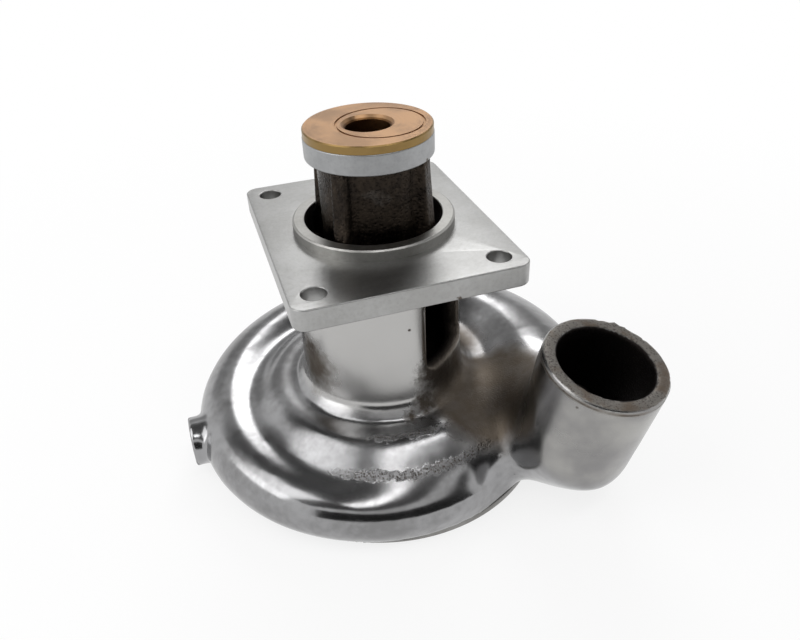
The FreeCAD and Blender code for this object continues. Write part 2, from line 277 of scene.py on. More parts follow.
def joined(first: Field, second: Field, blend: float) -> Field:
    """Union of two solids with a concave fillet where their walls meet at an angle.

    Walls that already run the same way get no fillet, so nothing swells where two
    tubes share a skin.

    Args:
        first: One solid.
        second: The other solid.
        blend: Width of the fillet between square walls.

    Returns:
        The union.
    """
    facing = np.sum(first[1] * second[1], axis=1)
    width = np.maximum(blend * np.clip(1.0 - facing, 0.0, 1.0), 1e-6)
    share = np.clip(0.5 + 0.5 * (second[0] - first[0]) / width, 0.0, 1.0)
    distance = second[0] + (first[0] - second[0]) * share - width * share * (1.0 - share)
    return distance, unit(second[1] + (first[1] - second[1]) * share[:, None])


def shared(first: Field, second: Field, blend: float) -> Field:
    """Intersection of two solids with its outer edges rounded."""
    return flipped(joined(flipped(first), flipped(second), blend))


def without(body: Field, tool: Field, blend: float) -> Field:
    """One solid with another taken out, the edges of the cut rounded."""
    return shared(body, flipped(tool), blend)


def climb(values: np.ndarray, ramp: Span) -> np.ndarray:
    """Straight ramp, given as the value where it leaves 0 and its width up to 1."""
    return np.clip((values - ramp[0]) / ramp[1], 0.0, 1.0)


# ------------------------------------------------------------------ skinning a blended solid

CORNERS = [(x, y, z) for x in (0, 1) for y in (0, 1) for z in (0, 1)]
CELL_EDGES = [(a, b) for a in range(8) for b in range(a + 1, 8)
              if sum(abs(p - q) for p, q in zip(CORNERS[a], CORNERS[b])) == 1]


@dataclass
class Skinner:
    """Turns a signed distance into an even quad mesh that lies on the solid's surface."""

    measure: Callable[[np.ndarray], np.ndarray]
    low: np.ndarray
    high: np.ndarray
    step: float
    slab: int = 150000
    rounds: int = 3
    passes: int = 2
    probe: float = 0.04
    least_slope: float = 0.25
    pull: float = 0.5

    def distances(self, points: np.ndarray) -> np.ndarray:
        """Measure many points, a slab at a time.

        Args:
            points: Places to measure, one per row.

        Returns:
            Signed distance at each place.
        """
        parts = [self.measure(points[i:i + self.slab]) for i in range(0, len(points), self.slab)]
        return np.concatenate(parts)

    def slopes(self, points: np.ndarray) -> np.ndarray:
        """Gradient of the distance at each point."""
        columns = []
        for axis in range(3):
            nudge = np.zeros(3)
            nudge[axis] = self.probe
            rise = self.distances(points + nudge) - self.distances(points - nudge)
            columns.append(rise / (2.0 * self.probe))
        return np.stack(columns, axis=1)

    def settle(self, points: np.ndarray) -> np.ndarray:
        """Move points along the slope onto the surface."""
        for _ in range(self.passes):
            slope = self.slopes(points)
            size = np.maximum(np.sum(slope * slope, axis=1), self.least_slope)
            push = np.clip(self.distances(points) / size, -self.step, self.step)
            points = points - push[:, None] * slope
        return points

    def cells(self) -> tuple[np.ndarray, np.ndarray]:
        """Find one point in every cell that the surface crosses, and the quads between them.

        Returns:
            Points, one per row, and quads as rows of four point numbers.
        """
        axes = [np.arange(self.low[i], self.high[i] + self.step, self.step) for i in range(3)]
        shape = tuple(len(axis) for axis in axes)
        lattice = np.stack(np.meshgrid(*axes, indexing="ij"), axis=-1).reshape(-1, 3)
        values = self.distances(lattice).reshape(shape)
        inside = values < 0.0
        span = tuple(count - 1 for count in shape)

        def corner(grid: np.ndarray, offset: Sequence[int]) -> np.ndarray:
            """View of a lattice from one corner of every cell."""
            return grid[tuple(slice(o, o + s) for o, s in zip(offset, span))]

        filled = sum(corner(inside, offset).astype(np.int8) for offset in CORNERS)
        active = (filled > 0) & (filled < 8)
        where = np.argwhere(active)
        number = np.full(span, -1, dtype=np.int64)
        number[active] = np.arange(len(where))
        total = np.zeros((len(where), 3))
        count = np.zeros(len(where))
        for a, b in CELL_EDGES:
            first = corner(values, CORNERS[a])[active]
            last = corner(values, CORNERS[b])[active]
            crossed = (first < 0.0) != (last < 0.0)
            share = np.where(crossed, first / np.where(crossed, first - last, 1.0), 0.0)
            place = np.array(CORNERS[a]) + share[:, None] * (np.array(CORNERS[b]) - np.array(CORNERS[a]))
            total += place * crossed[:, None]
            count += crossed
        points = self.low + (where + total / count[:, None]) * self.step
        quads = [self.quads_along(axis, inside, number) for axis in range(3)]
        return points, np.concatenate(quads)

    def quads_along(self, axis: int, inside: np.ndarray, number: np.ndarray) -> np.ndarray:
        """Quads round the lattice edges that run along one axis and cross the surface.

        Args:
            axis: 0, 1 or 2.
            inside: Whether each lattice point is inside.
            number: Point number of each cell.

        Returns:
            Quads, turned so that they face outwards.
        """
        across = ((axis + 1) % 3, (axis + 2) % 3)
        lower = [slice(1, -1)] * 3
        lower[axis] = slice(0, -1)
        upper = list(lower)
        upper[axis] = slice(1, None)
        start, end = inside[tuple(lower)], inside[tuple(upper)]
        spots = np.argwhere(start != end)
        leaving = start[tuple(spots.T)]
        spots[:, across[0]] += 1
        spots[:, across[1]] += 1
        ring = []
        for back_first, back_second in ((1, 1), (0, 1), (0, 0), (1, 0)):
            cell = spots.copy()
            cell[:, across[0]] -= back_first
            cell[:, across[1]] -= back_second
            ring.append(number[tuple(cell.T)])
        quads = np.stack(ring, axis=1)
        quads[~leaving] = quads[~leaving][:, ::-1]
        return quads

    def skin(self, ease: Callable[[np.ndarray], np.ndarray],
             ease_rounds: int) -> tuple[np.ndarray, np.ndarray]:
        """Even out the cells' points, settle them on the surface and ease the creases.

        Args:
            ease: Gives each place a weight from 0 to 1 for the easing.
            ease_rounds: How often the weighted points move towards their neighbours.

        Returns:
            Points and quads.
        """
        points, quads = self.cells()
        edges = np.concatenate([quads[:, [i, (i + 1) % 4]] for i in range(4)])
        degree = np.bincount(edges[:, 0], minlength=len(points))

        def towards_mean(places: np.ndarray) -> np.ndarray:
            """Way from each point to the middle of its neighbours."""
            sums = [np.bincount(edges[:, 0], places[edges[:, 1], i], len(places)) for i in range(3)]
            return np.stack(sums, axis=1) / degree[:, None] - places

        for _ in range(self.rounds):
            points = self.settle(points + self.pull * towards_mean(points))
        weight = self.pull * ease(points)[:, None]
        for _ in range(ease_rounds):
            points = points + weight * towards_mean(points)
        return points, quads


# ------------------------------------------------------------------ the casting's skin


@dataclass
class Common:
    """Sizes that more than one piece of the casting goes by, in millimetres and degrees."""

    lip_radius: float = 65.8
    lip_height: float = 3.0
    register_radius: float = 55.0
    screw_circle: float = 60.4
    screws: int = 6
    neck_bore: float = 25.4
    tower_radius: float = 19.0
    tower_bore: float = 11.5
    rib_thickness: float = 6.2
    window_azimuth: float = -45.0


@dataclass
class Scroll:
    """Spiral tube of the volute, its straight run, the elbow and the riser, in millimetres."""

    centre: Span = (-2.9, 0.7)
    start_azimuth: float = -35.0
    travel: float = 335.3
    start_reach: float = 57.5
    end_reach: float = 67.7
    start_radius: float = 8.2
    end_radius: float = 21.8
    floor: float = 0.8
    wall: float = 5.2
    passage_floor: float = 7.0
    run: float = 49.1
    elbow_cut: float = 6.0
    riser_radius: float = 22.6
    riser_length: float = 44.8
    lean: float = 13.6
    lean_azimuth: float = -52.5
    mouth_bevel: float = 1.3
    crotch_blend: float = 10.0
    burr_azimuth: float = 47.0
    burr_length: float = 5.4
    burr_radius: float = 0.85
    burr_taper: float = 0.6
    burr_inset: float = 0.6
    burr_drop: float = 0.5
    burr_blend: float = 0.8

    def riser_direction(self) -> np.ndarray:
        """Unit vector up the riser."""
        lean = math.radians(self.lean)
        return azimuth_vector(self.lean_azimuth) * math.sin(lean) + np.array([0, 0, math.cos(lean)])

    def size_at(self, travelled: Reading, wall: float) -> tuple[Reading, Reading]:
        """Reach of the tube's centre and radius of the tube after some travel.

        Args:
            travelled: Travel along the spiral, in degrees.
            wall: Thickness taken off the tube all round.

        Returns:
            Reach and radius.
        """
        share = travelled / self.travel
        reach = self.start_reach + (self.end_reach - self.start_reach) * share
        return reach, self.start_radius + (self.end_radius - self.start_radius) * share - wall

    def station(self, travelled: float, wall: float, floor: float) -> np.ndarray:
        """Centre of the tube after some travel."""
        reach, radius = self.size_at(travelled, wall)
        plan = azimuth_vector(self.start_azimuth - travelled) * reach
        return plan + np.array([*self.centre, floor + radius])

    def turns(self, wall: float, floor: float) -> tuple[np.ndarray, ...]:
        """End of the scroll, the two turning points of the elbow and the middle of the mouth.

        Args:
            wall: Thickness taken off the tube all round.
            floor: Height of the lowest line of the tube.

        Returns:
            Four points.
        """
        end = self.station(self.travel, wall, floor)
        outward = azimuth_vector(self.start_azimuth - self.travel)
        forward = np.array([outward[1], -outward[0], 0.0])
        corner = end + forward * self.run
        corner[2] = floor + self.riser_radius - wall
        outer_corner = corner.copy()
        outer_corner[2] = self.floor + self.riser_radius
        upward = self.riser_direction()
        mouth = outer_corner + upward * self.riser_length
        return end, corner - forward * self.elbow_cut, corner + upward * self.elbow_cut, mouth

    def spiral(self, points: np.ndarray, wall: float, floor: float) -> Field:
        """Distance to the spiral part of the tube.

        Args:
            points: Places to measure.
            wall: Thickness taken off the tube all round.
            floor: Height of the lowest line of the tube.

        Returns:
            Signed distance and outward direction.
        """
        flat = points - np.array([*self.centre, 0.0])
        azimuth = np.degrees(np.arctan2(flat[:, 1], flat[:, 0]))
        travelled = np.minimum((self.start_azimuth - azimuth) % 360.0, self.travel)
        reach, radius = self.size_at(travelled, wall)
        angle = np.radians(self.start_azimuth - travelled)
        core = np.stack([reach * np.cos(angle), reach * np.sin(angle), floor + radius], axis=1)
        offset = flat - core
        length = np.linalg.norm(offset, axis=1)
        tube = (length - radius, offset / np.maximum(length, 1e-9)[:, None])
        start = self.station(0.0, wall, floor)
        tongue = tapered_bar(points, start, start + np.array([0, 0, 0.01]), self.start_radius - wall)
        return joined(tube, tongue, 0.0)

    def tube(self, points: np.ndarray, wall: float, floor: float) -> Field:
        """Distance to the spiral, the straight run and the elbow.

        Args:
            points: Places to measure.
            wall: Thickness taken off the tube all round.
            floor: Height of the lowest line of the tube.

        Returns:
            Signed distance and outward direction.
        """
        end, first, second, _ = self.turns(wall, floor)
        radius = self.riser_radius - wall
        run = tapered_bar(points, end, first, self.end_radius - wall, radius)
        tube = joined(self.spiral(points, wall, floor), run, 0.0)
        return joined(tube, tapered_bar(points, first, second, radius), 0.0)

    def outside(self, points: np.ndarray) -> Field:
        """Outer skin of the tube, elbow and riser."""
        _, _, second, mouth = self.turns(0.0, self.floor)
        radius, upward = self.riser_radius, self.riser_direction()
        riser = tapered_bar(points, second, mouth + upward * 2.0 * radius, radius)
        face = ((points - mouth) @ upward, np.broadcast_to(upward, points.shape))
        riser = joined(shared(riser, face, self.mouth_bevel), self.burr(points, mouth), self.burr_blend)
        return joined(self.tube(points, 0.0, self.floor), riser, self.crotch_blend)

    def burr(self, points: np.ndarray, mouth: np.ndarray) -> Field:
        """Small ridge of metal that is left on the outer edge of the mouth."""
        upward = self.riser_direction()
        along = unit(np.cross(upward, azimuth_vector(self.burr_azimuth)))
        side = np.cross(along, upward)
        middle = mouth + side * (self.riser_radius - self.burr_inset) - upward * self.burr_drop
        reach = 0.5 * self.burr_length * along
        return tapered_bar(points, middle - reach, middle + reach,
                           self.burr_taper * self.burr_radius, self.burr_radius)

    def inside(self, points: np.ndarray) -> Field:
        """Water passage through the tube, elbow and riser."""
        _, _, second, mouth = self.turns(self.wall, self.passage_floor)
        radius = self.riser_radius - self.wall
        riser = tapered_bar(points, second, mouth + self.riser_direction() * 2.0 * radius, radius)
        return joined(self.tube(points, self.wall, self.passage_floor), riser, 0.0)


@dataclass
class CastBody(Common):
    """Everything of the casting below the adapter flange, in millimetres.

    The last spans are starts and widths of the ramps that bound the hand dressing.
    """

    scroll: Scroll = field(default_factory=Scroll)
    step: float = 1.3
    draft_step: float = 2.1
    lip_round: float = 1.0
    lip_blend: float = 3.0
    rim_radius: float = 60.0
    rim_round: float = 3.0
    slope_foot: float = 23.5
    shoulder_radius: float = 46.0
    shoulder_height: float = 33.5
    shoulder_round: float = 6.0
    neck_radius: float = 32.2
    neck_top: float = 93.4
    gland_floor: float = 43.0
    hollow_round: float = 2.0
    chamber_edge: float = 21.0
    chamber_roof_radius: float = 44.0
    chamber_roof: float = 26.0
    seal_bore: float = 9.0
    seal_overlap: float = 1.0
    tower_foot: float = 70.0
    tower_round: float = 2.0
    rib_foot: float = 84.0
    rib_round: float = 1.0
    rib_blend: float = 3.0
    rib_overlap: float = 1.5
    boss_radius: float = 10.1
    boss_reach: float = 83.0
    boss_side: float = 3.2
    boss_height: float = 14.4
    boss_depth: float = 22.0
    boss_round: float = 0.8
    boss_blend: float = 4.0
    thread_radius: float = 5.9
    thread_depth: float = 14.0
    port_radius: float = 4.0
    port_depth: float = 22.0
    window_half_width: float = 15.0
    window_low: float = 50.0
    window_high: float = 82.0
    window_corner: float = 4.0
    window_reach: float = 38.0
    screw_clearance: float = 2.3
    screw_depth: float = 5.2
    foot: float = 0.3
    foot_round: float = 0.6
    lip_setback: float = 0.5
    roof_blend: float = 8.0
    neck_blend: float = 5.0
    cast_edge: float = 1.4
    crotch_low: Triple = (47.0, -54.0, 12.0)
    crotch_high: Triple = (40.0, -40.0, 36.0)
    crotch_reach: float = 18.0
    crotch_fade: float = 13.0
    crotch_rounds: int = 260
    front_ease: float = 0.24
    front_drop: float = 1.5
    front_peak: float = 1.6
    front_width: float = 7.0
    buffing: float = 0.05
    mask_start: float = 0.15
    mask_width: float = 0.9
    margin: float = 2.0
    front_from: Span = (-135.0, 25.0)
    front_to: Span = (30.0, 10.0)
    below_neck: Span = (-36.0, 3.0)
    off_boss: Span = (-74.0, 4.0)
    off_neck: Span = (36.0, 3.0)
    off_floor: Span = (2.0, 4.0)

    def cone(self, points: np.ndarray, foot: Span, top: Span) -> Field:
        """Distance to the inside of a cone about the pump axis.

        Args:
            points: Places to measure.
            foot: Radius and height of one point of its wall.
            top: Radius and height of another, higher one.

        Returns:
            Signed distance and outward direction.
        """
        rise, gain = top[1] - foot[1], foot[0] - top[0]
        length = math.hypot(rise, gain)
        _, outward = upright(points, 0.0)
        reach = np.linalg.norm(points[:, :2], axis=1)
        distance = ((reach - foot[0]) * rise + (points[:, 2] - foot[1]) * gain) / length
        return distance, (outward * rise + np.array([0.0, 0.0, gain])) / length

    def roof(self, points: np.ndarray) -> Field:
        """Stepped roof with its lip and the neck on it."""
        slope = self.cone(points, (self.rim_radius, self.slope_foot),
                          (self.shoulder_radius, self.shoulder_height))
        roof = shared(slope, above(points, self.shoulder_height), self.shoulder_round)
        roof = shared(roof, upright(points, self.rim_radius), self.rim_round)
        reach = self.lip_radius - self.lip_setback
        flare = self.cone(points, (reach, self.lip_height - self.lip_setback),
                          (self.rim_radius, self.lip_height + reach - self.rim_radius))
        lip = shared(upright(points, reach), flare, self.lip_round)
        neck = shared(upright(points, self.neck_radius), above(points, self.neck_top), 0.0)
        return joined(joined(roof, lip, self.lip_blend), neck, self.neck_blend)

    def boss(self, points: np.ndarray, radius: float, depth: float, edge: float = 0.0) -> Field:
        """Distance to a round bar along X at the drain.

        Args:
            points: Places to measure.
            radius: Radius of the bar.
            depth: Length inwards from the face of the boss.
            edge: Rounding of the two ends.

        Returns:
            Signed distance and outward direction.
        """
        tip = self.boss_reach
        inner = np.array([-tip + depth + radius, self.boss_side, self.boss_height])
        outer = np.array([-tip - radius, self.boss_side, self.boss_height])
        bar = tapered_bar(points, inner, outer, radius)
        left = np.array([-1.0, 0.0, 0.0])
        tip_face = (-points[:, 0] - tip, np.broadcast_to(left, points.shape))
        root_face = (points[:, 0] + tip - depth, np.broadcast_to(-left, points.shape))
        return shared(shared(bar, tip_face, edge), root_face, edge)

    def window(self, points: np.ndarray) -> Field:
        """Window through the front of the neck, with round corners."""
        outward = azimuth_vector(self.window_azimuth)
        sideways = azimuth_vector(self.window_azimuth + 90.0)
        across = points @ sideways
        rise = points[:, 2] - 0.5 * (self.window_low + self.window_high)
        beyond_side = np.abs(across) - (self.window_half_width - self.window_corner)
        beyond_top = np.abs(rise) - (0.5 * (self.window_high - self.window_low) - self.window_corner)
        outer = np.hypot(np.maximum(beyond_side, 0.0), np.maximum(beyond_top, 0.0))
        distance = outer + np.minimum(np.maximum(beyond_side, beyond_top), 0.0) - self.window_corner
        side_share = np.maximum(beyond_side, 0.0) + 1e-6 * (beyond_side > beyond_top)
        top_share = np.maximum(beyond_top, 0.0) + 1e-6 * (beyond_side <= beyond_top)
        wall = unit(sideways * (np.sign(across) * side_share)[:, None]
                    + np.array([0.0, 0.0, 1.0]) * (np.sign(rise) * top_share)[:, None])
        reach = points @ outward - 0.5 * self.window_reach
        ends = (np.abs(reach) - 0.5 * self.window_reach, outward * np.sign(reach)[:, None])
        return shared((distance, wall), ends, 0.0)

    def hollows(self, points: np.ndarray) -> Field:
        """Chamber, passage, neck bore, seal bore and drain."""
        ceiling = shared(self.cone(points, (self.register_radius, self.chamber_edge),
                                   (self.chamber_roof_radius, self.chamber_roof)),
                         above(points, self.chamber_roof), self.hollow_round)
        chamber = shared(upright(points, self.register_radius), ceiling, self.hollow_round)
        hollow = joined(chamber, self.scroll.inside(points), self.hollow_round)
        floor = flipped(above(points, self.gland_floor))
        for cut in (shared(upright(points, self.neck_bore), floor, self.hollow_round),
                    shared(upright(points, self.seal_bore),
                           above(points, self.gland_floor + self.seal_overlap), 0.0),
                    self.boss(points, self.thread_radius, self.thread_depth),
                    self.boss(points, self.port_radius, self.port_depth)):
            hollow = joined(hollow, cut, 0.0)
        return hollow

    def screw_holes(self, points: np.ndarray) -> Field:
        """Blind holes of the cover's screws in the lip."""
        pitch = 360.0 / self.screws
        azimuth = np.degrees(np.arctan2(points[:, 1], points[:, 0]))
        nearest = np.radians((np.floor(azimuth / pitch) + 0.5) * pitch)
        middle = np.stack([np.cos(nearest), np.sin(nearest)], axis=1) * self.screw_circle
        offset = points.copy()
        offset[:, :2] -= middle
        return shared(upright(offset, self.screw_clearance), above(points, self.screw_depth), 0.0)

    def tower_foot_piece(self, points: np.ndarray) -> Field:
        """Lower end of the bearing tower with the feet of its ribs, inside the neck."""
        foot = flipped(above(points, self.tower_foot))
        core = shared(upright(points, self.tower_radius), foot, self.tower_round)
        turned = azimuth_vector(self.window_azimuth)
        sideways = azimuth_vector(self.window_azimuth + 90.0)
        first, second = np.abs(points @ turned), np.abs(points @ sideways)
        thin = np.minimum(first, second)
        lean = np.where((first < second)[:, None], turned * np.sign(points @ turned)[:, None],
                        sideways * np.sign(points @ sideways)[:, None])
        ribs = shared((thin - 0.5 * self.rib_thickness, lean), flipped(above(points, self.rib_foot)),
                      self.rib_round)
        ribs = shared(ribs, upright(points, self.neck_bore + self.rib_overlap), 0.0)
        piece = joined(core, ribs, self.rib_blend)
        piece = shared(piece, above(points, self.neck_top), 0.0)
        return without(piece, upright(points, self.tower_bore), 0.0)

    def outer(self, points: np.ndarray) -> Field:
        """Outer skin of the casting."""
        body = joined(self.scroll.outside(points), self.roof(points), self.roof_blend)
        boss = self.boss(points, self.boss_radius, self.boss_depth, self.boss_round)
        body = joined(body, boss, self.boss_blend)
        return shared(body, flipped(above(points, self.foot)), self.foot_round)

    def solid(self, points: np.ndarray) -> np.ndarray:
        """Signed distance to the finished casting."""
        body = without(self.outer(points), self.hollows(points), self.cast_edge)
        body = without(body, self.window(points), self.cast_edge)
        body = without(body, self.screw_holes(points), 0.0)
        return joined(body, self.tower_foot_piece(points), self.tower_round)[0]

    def roughness_mask(self, points: np.ndarray) -> np.ndarray:
        """How far each place is from the buffed outside: 0 outside, 1 in the hollows."""
        inward = np.minimum(self.hollows(points)[0], self.window(points)[0])
        inward = np.minimum(inward, np.abs(self.tower_foot_piece(points)[0]))
        return np.clip(1.0 - (inward - self.mask_start) / self.mask_width, 0.0, 1.0)

    def crotch_weight(self, points: np.ndarray) -> np.ndarray:
        """Weight of the hand dressing: the saddle beside the riser, the front step, the outside.

        Args:
            points: Places on the skin.

        Returns:
            1 in the saddle, less on the rest of the outside and 0 in the hollows.
        """
        low, high = np.array(self.crotch_low), np.array(self.crotch_high)
        away, _ = tapered_bar(points, low, high, self.crotch_reach)
        near = np.clip(1.0 - away / self.crotch_fade, 0.0, 1.0)
        near = near * near * (3.0 - 2.0 * near)
        reach = np.hypot(points[:, 0], points[:, 1])
        azimuth = np.degrees(np.arctan2(points[:, 1], points[:, 0]))
        off_rim = np.hypot(reach - self.rim_radius, points[:, 2] - self.slope_foot + self.front_drop)
        front = climb(azimuth, self.front_from) * climb(-azimuth, self.front_to)
        step = self.front_ease * np.clip(self.front_peak - off_rim / self.front_width, 0.0, 1.0) * front
        whole = self.buffing * climb(-points[:, 2], self.below_neck) \
            * climb(points[:, 0], self.off_boss) * climb(reach, self.off_neck)
        weight = np.maximum(near, np.maximum(step, whole)) * climb(points[:, 2], self.off_floor)
        return weight * (1.0 - self.roughness_mask(points))

    def build(self) -> bpy.types.Object:
        """Skin the casting and store how far into the hollows each place is, for their roughness and
        painted shade.
        """
        low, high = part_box(Node.CASING.value)
        lowest = np.array(low) / MM - self.margin
        highest = np.array(high) / MM + self.margin
        highest[2] = self.neck_top + self.margin
        step = self.step
        skinner = Skinner(self.solid, lowest, highest, step)
        rounds = round(self.crotch_rounds * (self.step / step) ** 2)
        points, quads = skinner.skin(self.crotch_weight, rounds)
        mesh = bpy.data.meshes.new("volute_shell")
        mesh.from_pydata((points * MM).tolist(), [], quads.tolist())
        rough = mesh.attributes.new("as_cast", "FLOAT", "POINT")
        rough.data.foreach_set("value", self.roughness_mask(points).astype(np.float32))
        mesh.shade_smooth()
        return new_piece("volute_shell", mesh)


# ------------------------------------------------------------------ turned and plain pieces


def new_piece(name: str, data: bpy.types.ID) -> bpy.types.Object:
    """Put a mesh, curve, lamp or camera into the scene as an object at the origin."""
    piece = bpy.data.objects.new(name, data)
    bpy.context.scene.collection.objects.link(piece)
    return piece


def mesh_from(bm: bmesh.types.BMesh, name: str) -> bpy.types.Mesh:
    """Clean a bmesh, point its faces outwards and turn it into a mesh."""
    bmesh.ops.remove_doubles(bm, verts=bm.verts, dist=1e-6)
    bmesh.ops.recalc_face_normals(bm, faces=bm.faces)
    mesh = bpy.data.meshes.new(name)
    bm.to_mesh(mesh)
    bm.free()
    return mesh


def add_bevel(piece: bpy.types.Object, width: float, segments: int, angle: float = 30.0) -> None:
    """Round the sharp edges of a piece and shade it smooth.

    Args:
        piece: The piece to finish.
        width: Width of the rounding, in metres.
        segments: Faces across the rounding.
        angle: Edges sharper than this many degrees are rounded.
    """
    bevel = piece.modifiers.new("edges", "BEVEL")
    bevel.width = width
    bevel.segments = segments
    bevel.limit_method = "ANGLE"
    bevel.angle_limit = math.radians(angle)
    bevel.harden_normals = True
    piece.data.shade_smooth()


def lathed(name: str, profile: Sequence[Span], turns: int = 128) -> bpy.types.Object:
    """Turn a closed profile about the pump axis.

    Args:
        name: Name of the piece.
        profile: Radius and height of each corner, in millimetres.
        turns: Faces round the piece.

    Returns:
        The turned piece.
    """
    bm = bmesh.new()
    rings = []
    for step in range(turns):
        angle = 2.0 * math.pi * step / turns
        rings.append([bm.verts.new((r * MM * math.cos(angle), r * MM * math.sin(angle), z * MM))
                      for r, z in profile])
    count = len(profile)
    for step in range(turns):
        here, there = rings[step], rings[(step + 1) % turns]
        for corner in range(count):
            after = (corner + 1) % count
            bm.faces.new((here[corner], there[corner], there[after], here[after]))
    return new_piece(name, mesh_from(bm, name))


def ring_profile(bore: float, radius: float, low: float, high: float) -> list[Span]:
    """Profile of a plain ring."""
    return [(bore, low), (radius, low), (radius, high), (bore, high)]


def ring_of_copies() -> bpy.types.NodeTree:
    """Geometry Nodes tree that repeats a piece about the pump axis."""
    tree = bpy.data.node_groups.new("ring_of_copies", "GeometryNodeTree")
    for label, kind in (("Geometry", "NodeSocketGeometry"), ("Count", "NodeSocketInt"),
                        ("First Azimuth", "NodeSocketFloat"), ("Finish", "NodeSocketMaterial")):
        tree.interface.new_socket(label, in_out="INPUT", socket_type=kind)
    tree.interface.new_socket("Geometry", in_out="OUTPUT", socket_type="NodeSocketGeometry")
    desk = Desk(tree)
    given = desk.given()
    points = desk.signal("GeometryNodePoints", {"Count": given["Count"]})
    pitch = desk.math("DIVIDE", 2.0 * math.pi, given["Count"])
    turn = desk.signal("GeometryNodeInputIndex") * pitch + given["First Azimuth"]
    rotation = desk.signal("FunctionNodeEulerToRotation",
                           {0: desk.signal("ShaderNodeCombineXYZ", {"Z": turn})})
    copies = desk.signal("GeometryNodeInstanceOnPoints",
                         {"Points": points, "Instance": given["Geometry"], "Rotation": rotation})
    real = desk.signal("GeometryNodeRealizeInstances", {0: copies})
    finished = desk.signal("GeometryNodeSetMaterial", {"Geometry": real, "Material": given["Finish"]})
    desk.node("NodeGroupOutput", {0: finished})
    return tree


def set_input(modifier: bpy.types.NodesModifier, label: str, value: object) -> None:
    """Set a named input of a Geometry Nodes modifier."""
    for item in modifier.node_group.interface.items_tree:
        if item.item_type == "SOCKET" and item.in_out == "INPUT" and item.name == label:
            modifier[item.identifier] = value


def circle_points(radius: float, x: float = 0.0, y: float = 0.0, count: int = 64) -> list[Span]:
    """Points round a circle in plan, in millimetres."""
    turn = [2.0 * math.pi * step / count for step in range(count)]
    return [(x + radius * math.cos(angle), y + radius * math.sin(angle)) for angle in turn]


def plate_piece(name: str, loops: Sequence[Sequence[Span]], low: float, high: float,
                edge: float) -> bpy.types.Object:
    """A flat plate with holes whose edges are broken all round.

    Args:
        name: Name of the piece.
        loops: The outline and then the holes, in millimetres.
        low: Height of the underside.
        high: Height of the top.
        edge: Width of the broken edges.

    Returns:
        The plate.
    """
    curve = bpy.data.curves.new(name, "CURVE")
    curve.dimensions = "2D"
    curve.fill_mode = "BOTH"
    curve.extrude = (0.5 * (high - low) - edge) * MM
    curve.bevel_depth = edge * MM
    curve.bevel_resolution = 2
    curve.offset = -edge * MM
    for loop in loops:
        spline = curve.splines.new("POLY")
        spline.points.add(len(loop) - 1)
        spline.use_cyclic_u = True
        for point, (x, y) in zip(spline.points, loop):
            point.co = (x * MM, y * MM, 0.0, 1.0)
    holder = new_piece(name, curve)
    bm = bmesh.new()
    bm.from_mesh(bpy.data.meshes.new_from_object(holder))
    bmesh.ops.translate(bm, vec=(0, 0, 0.5 * (low + high) * MM), verts=bm.verts)
    bpy.data.objects.remove(holder)
    piece = new_piece(name, mesh_from(bm, name))
    piece.data.shade_smooth()
    weighted = piece.modifiers.new("flat_faces", "WEIGHTED_NORMAL")
    weighted.mode = "FACE_AREA_WITH_ANGLE"
    weighted.weight = 60
    return piece


@dataclass
class CoverLip(Common):
    """Flat lip round the casing's foot that the suction cover is screwed to, in millimetres."""

    edge: float = 0.7
    screw_radius: float = 1.65

    def build(self) -> bpy.types.Object:
        """Make the lip with its screw holes."""
        loops = [circle_points(self.lip_radius, count=192),
                 circle_points(self.register_radius, count=160)]
        for index in range(self.screws):
            angle = 2.0 * math.pi * (index + 0.5) / self.screws
            loops.append(circle_points(self.screw_radius, self.screw_circle * math.cos(angle),
                                       self.screw_circle * math.sin(angle), 24))
        return plate_piece("cover_lip", loops, 0.0, self.lip_height, self.edge)


@dataclass
class AdapterFlange(Common):
    """Rectangular flange with four bolt holes and the pilot ring on it, in millimetres."""

    width: float = 82.0
    length: float = 100.0
    thickness: float = 8.0
    top: float = 100.5
    corner: float = 5.0
    bolt_x: float = 64.0
    bolt_y: float = 82.0
    hole: float = 4.2
    pilot_radius: float = 30.0
    pilot_height: float = 4.2
    pilot_sunk: float = 2.0
    pilot_chamfer: float = 0.6
    edge: float = 0.45
    corner_steps: int = 10

    def rim(self) -> list[Span]:
        """Outline of the plate with its round corners."""
        points = []
        for quarter, (sign_x, sign_y) in enumerate(((1, 1), (-1, 1), (-1, -1), (1, -1))):
            middle_x = sign_x * (0.5 * self.width - self.corner)
            middle_y = sign_y * (0.5 * self.length - self.corner)
            for step in range(self.corner_steps + 1):
                angle = math.radians(90.0 * (quarter + step / self.corner_steps))
                points.append((middle_x + self.corner * math.cos(angle),
                               middle_y + self.corner * math.sin(angle)))
        return points

    def plate(self) -> bpy.types.Object:
        """The flange plate with its holes, its edges broken all round."""
        loops = [self.rim(), circle_points(self.neck_bore, count=128)]
        loops += [circle_points(self.hole, sx * 0.5 * self.bolt_x, sy * 0.5 * self.bolt_y, 48)
                  for sx in (-1, 1) for sy in (-1, 1)]
        return plate_piece("adapter_flange", loops, self.top - self.thickness, self.top, self.edge)

    def pilot(self) -> bpy.types.Object:
        """The pilot ring that stands on the flange."""
        crest, foot = self.top + self.pilot_height, self.top - self.pilot_sunk
        profile = [
            (self.neck_bore, foot),
            (self.pilot_radius, foot),
            (self.pilot_radius, crest - self.pilot_chamfer),
            (self.pilot_radius - self.pilot_chamfer, crest),
            (self.neck_bore + 0.5 * self.pilot_chamfer, crest),
            (self.neck_bore, crest - 0.5 * self.pilot_chamfer),
        ]
        piece = lathed("pilot_ring", profile, 160)
        add_bevel(piece, 0.15 * MM, 2)
        return piece


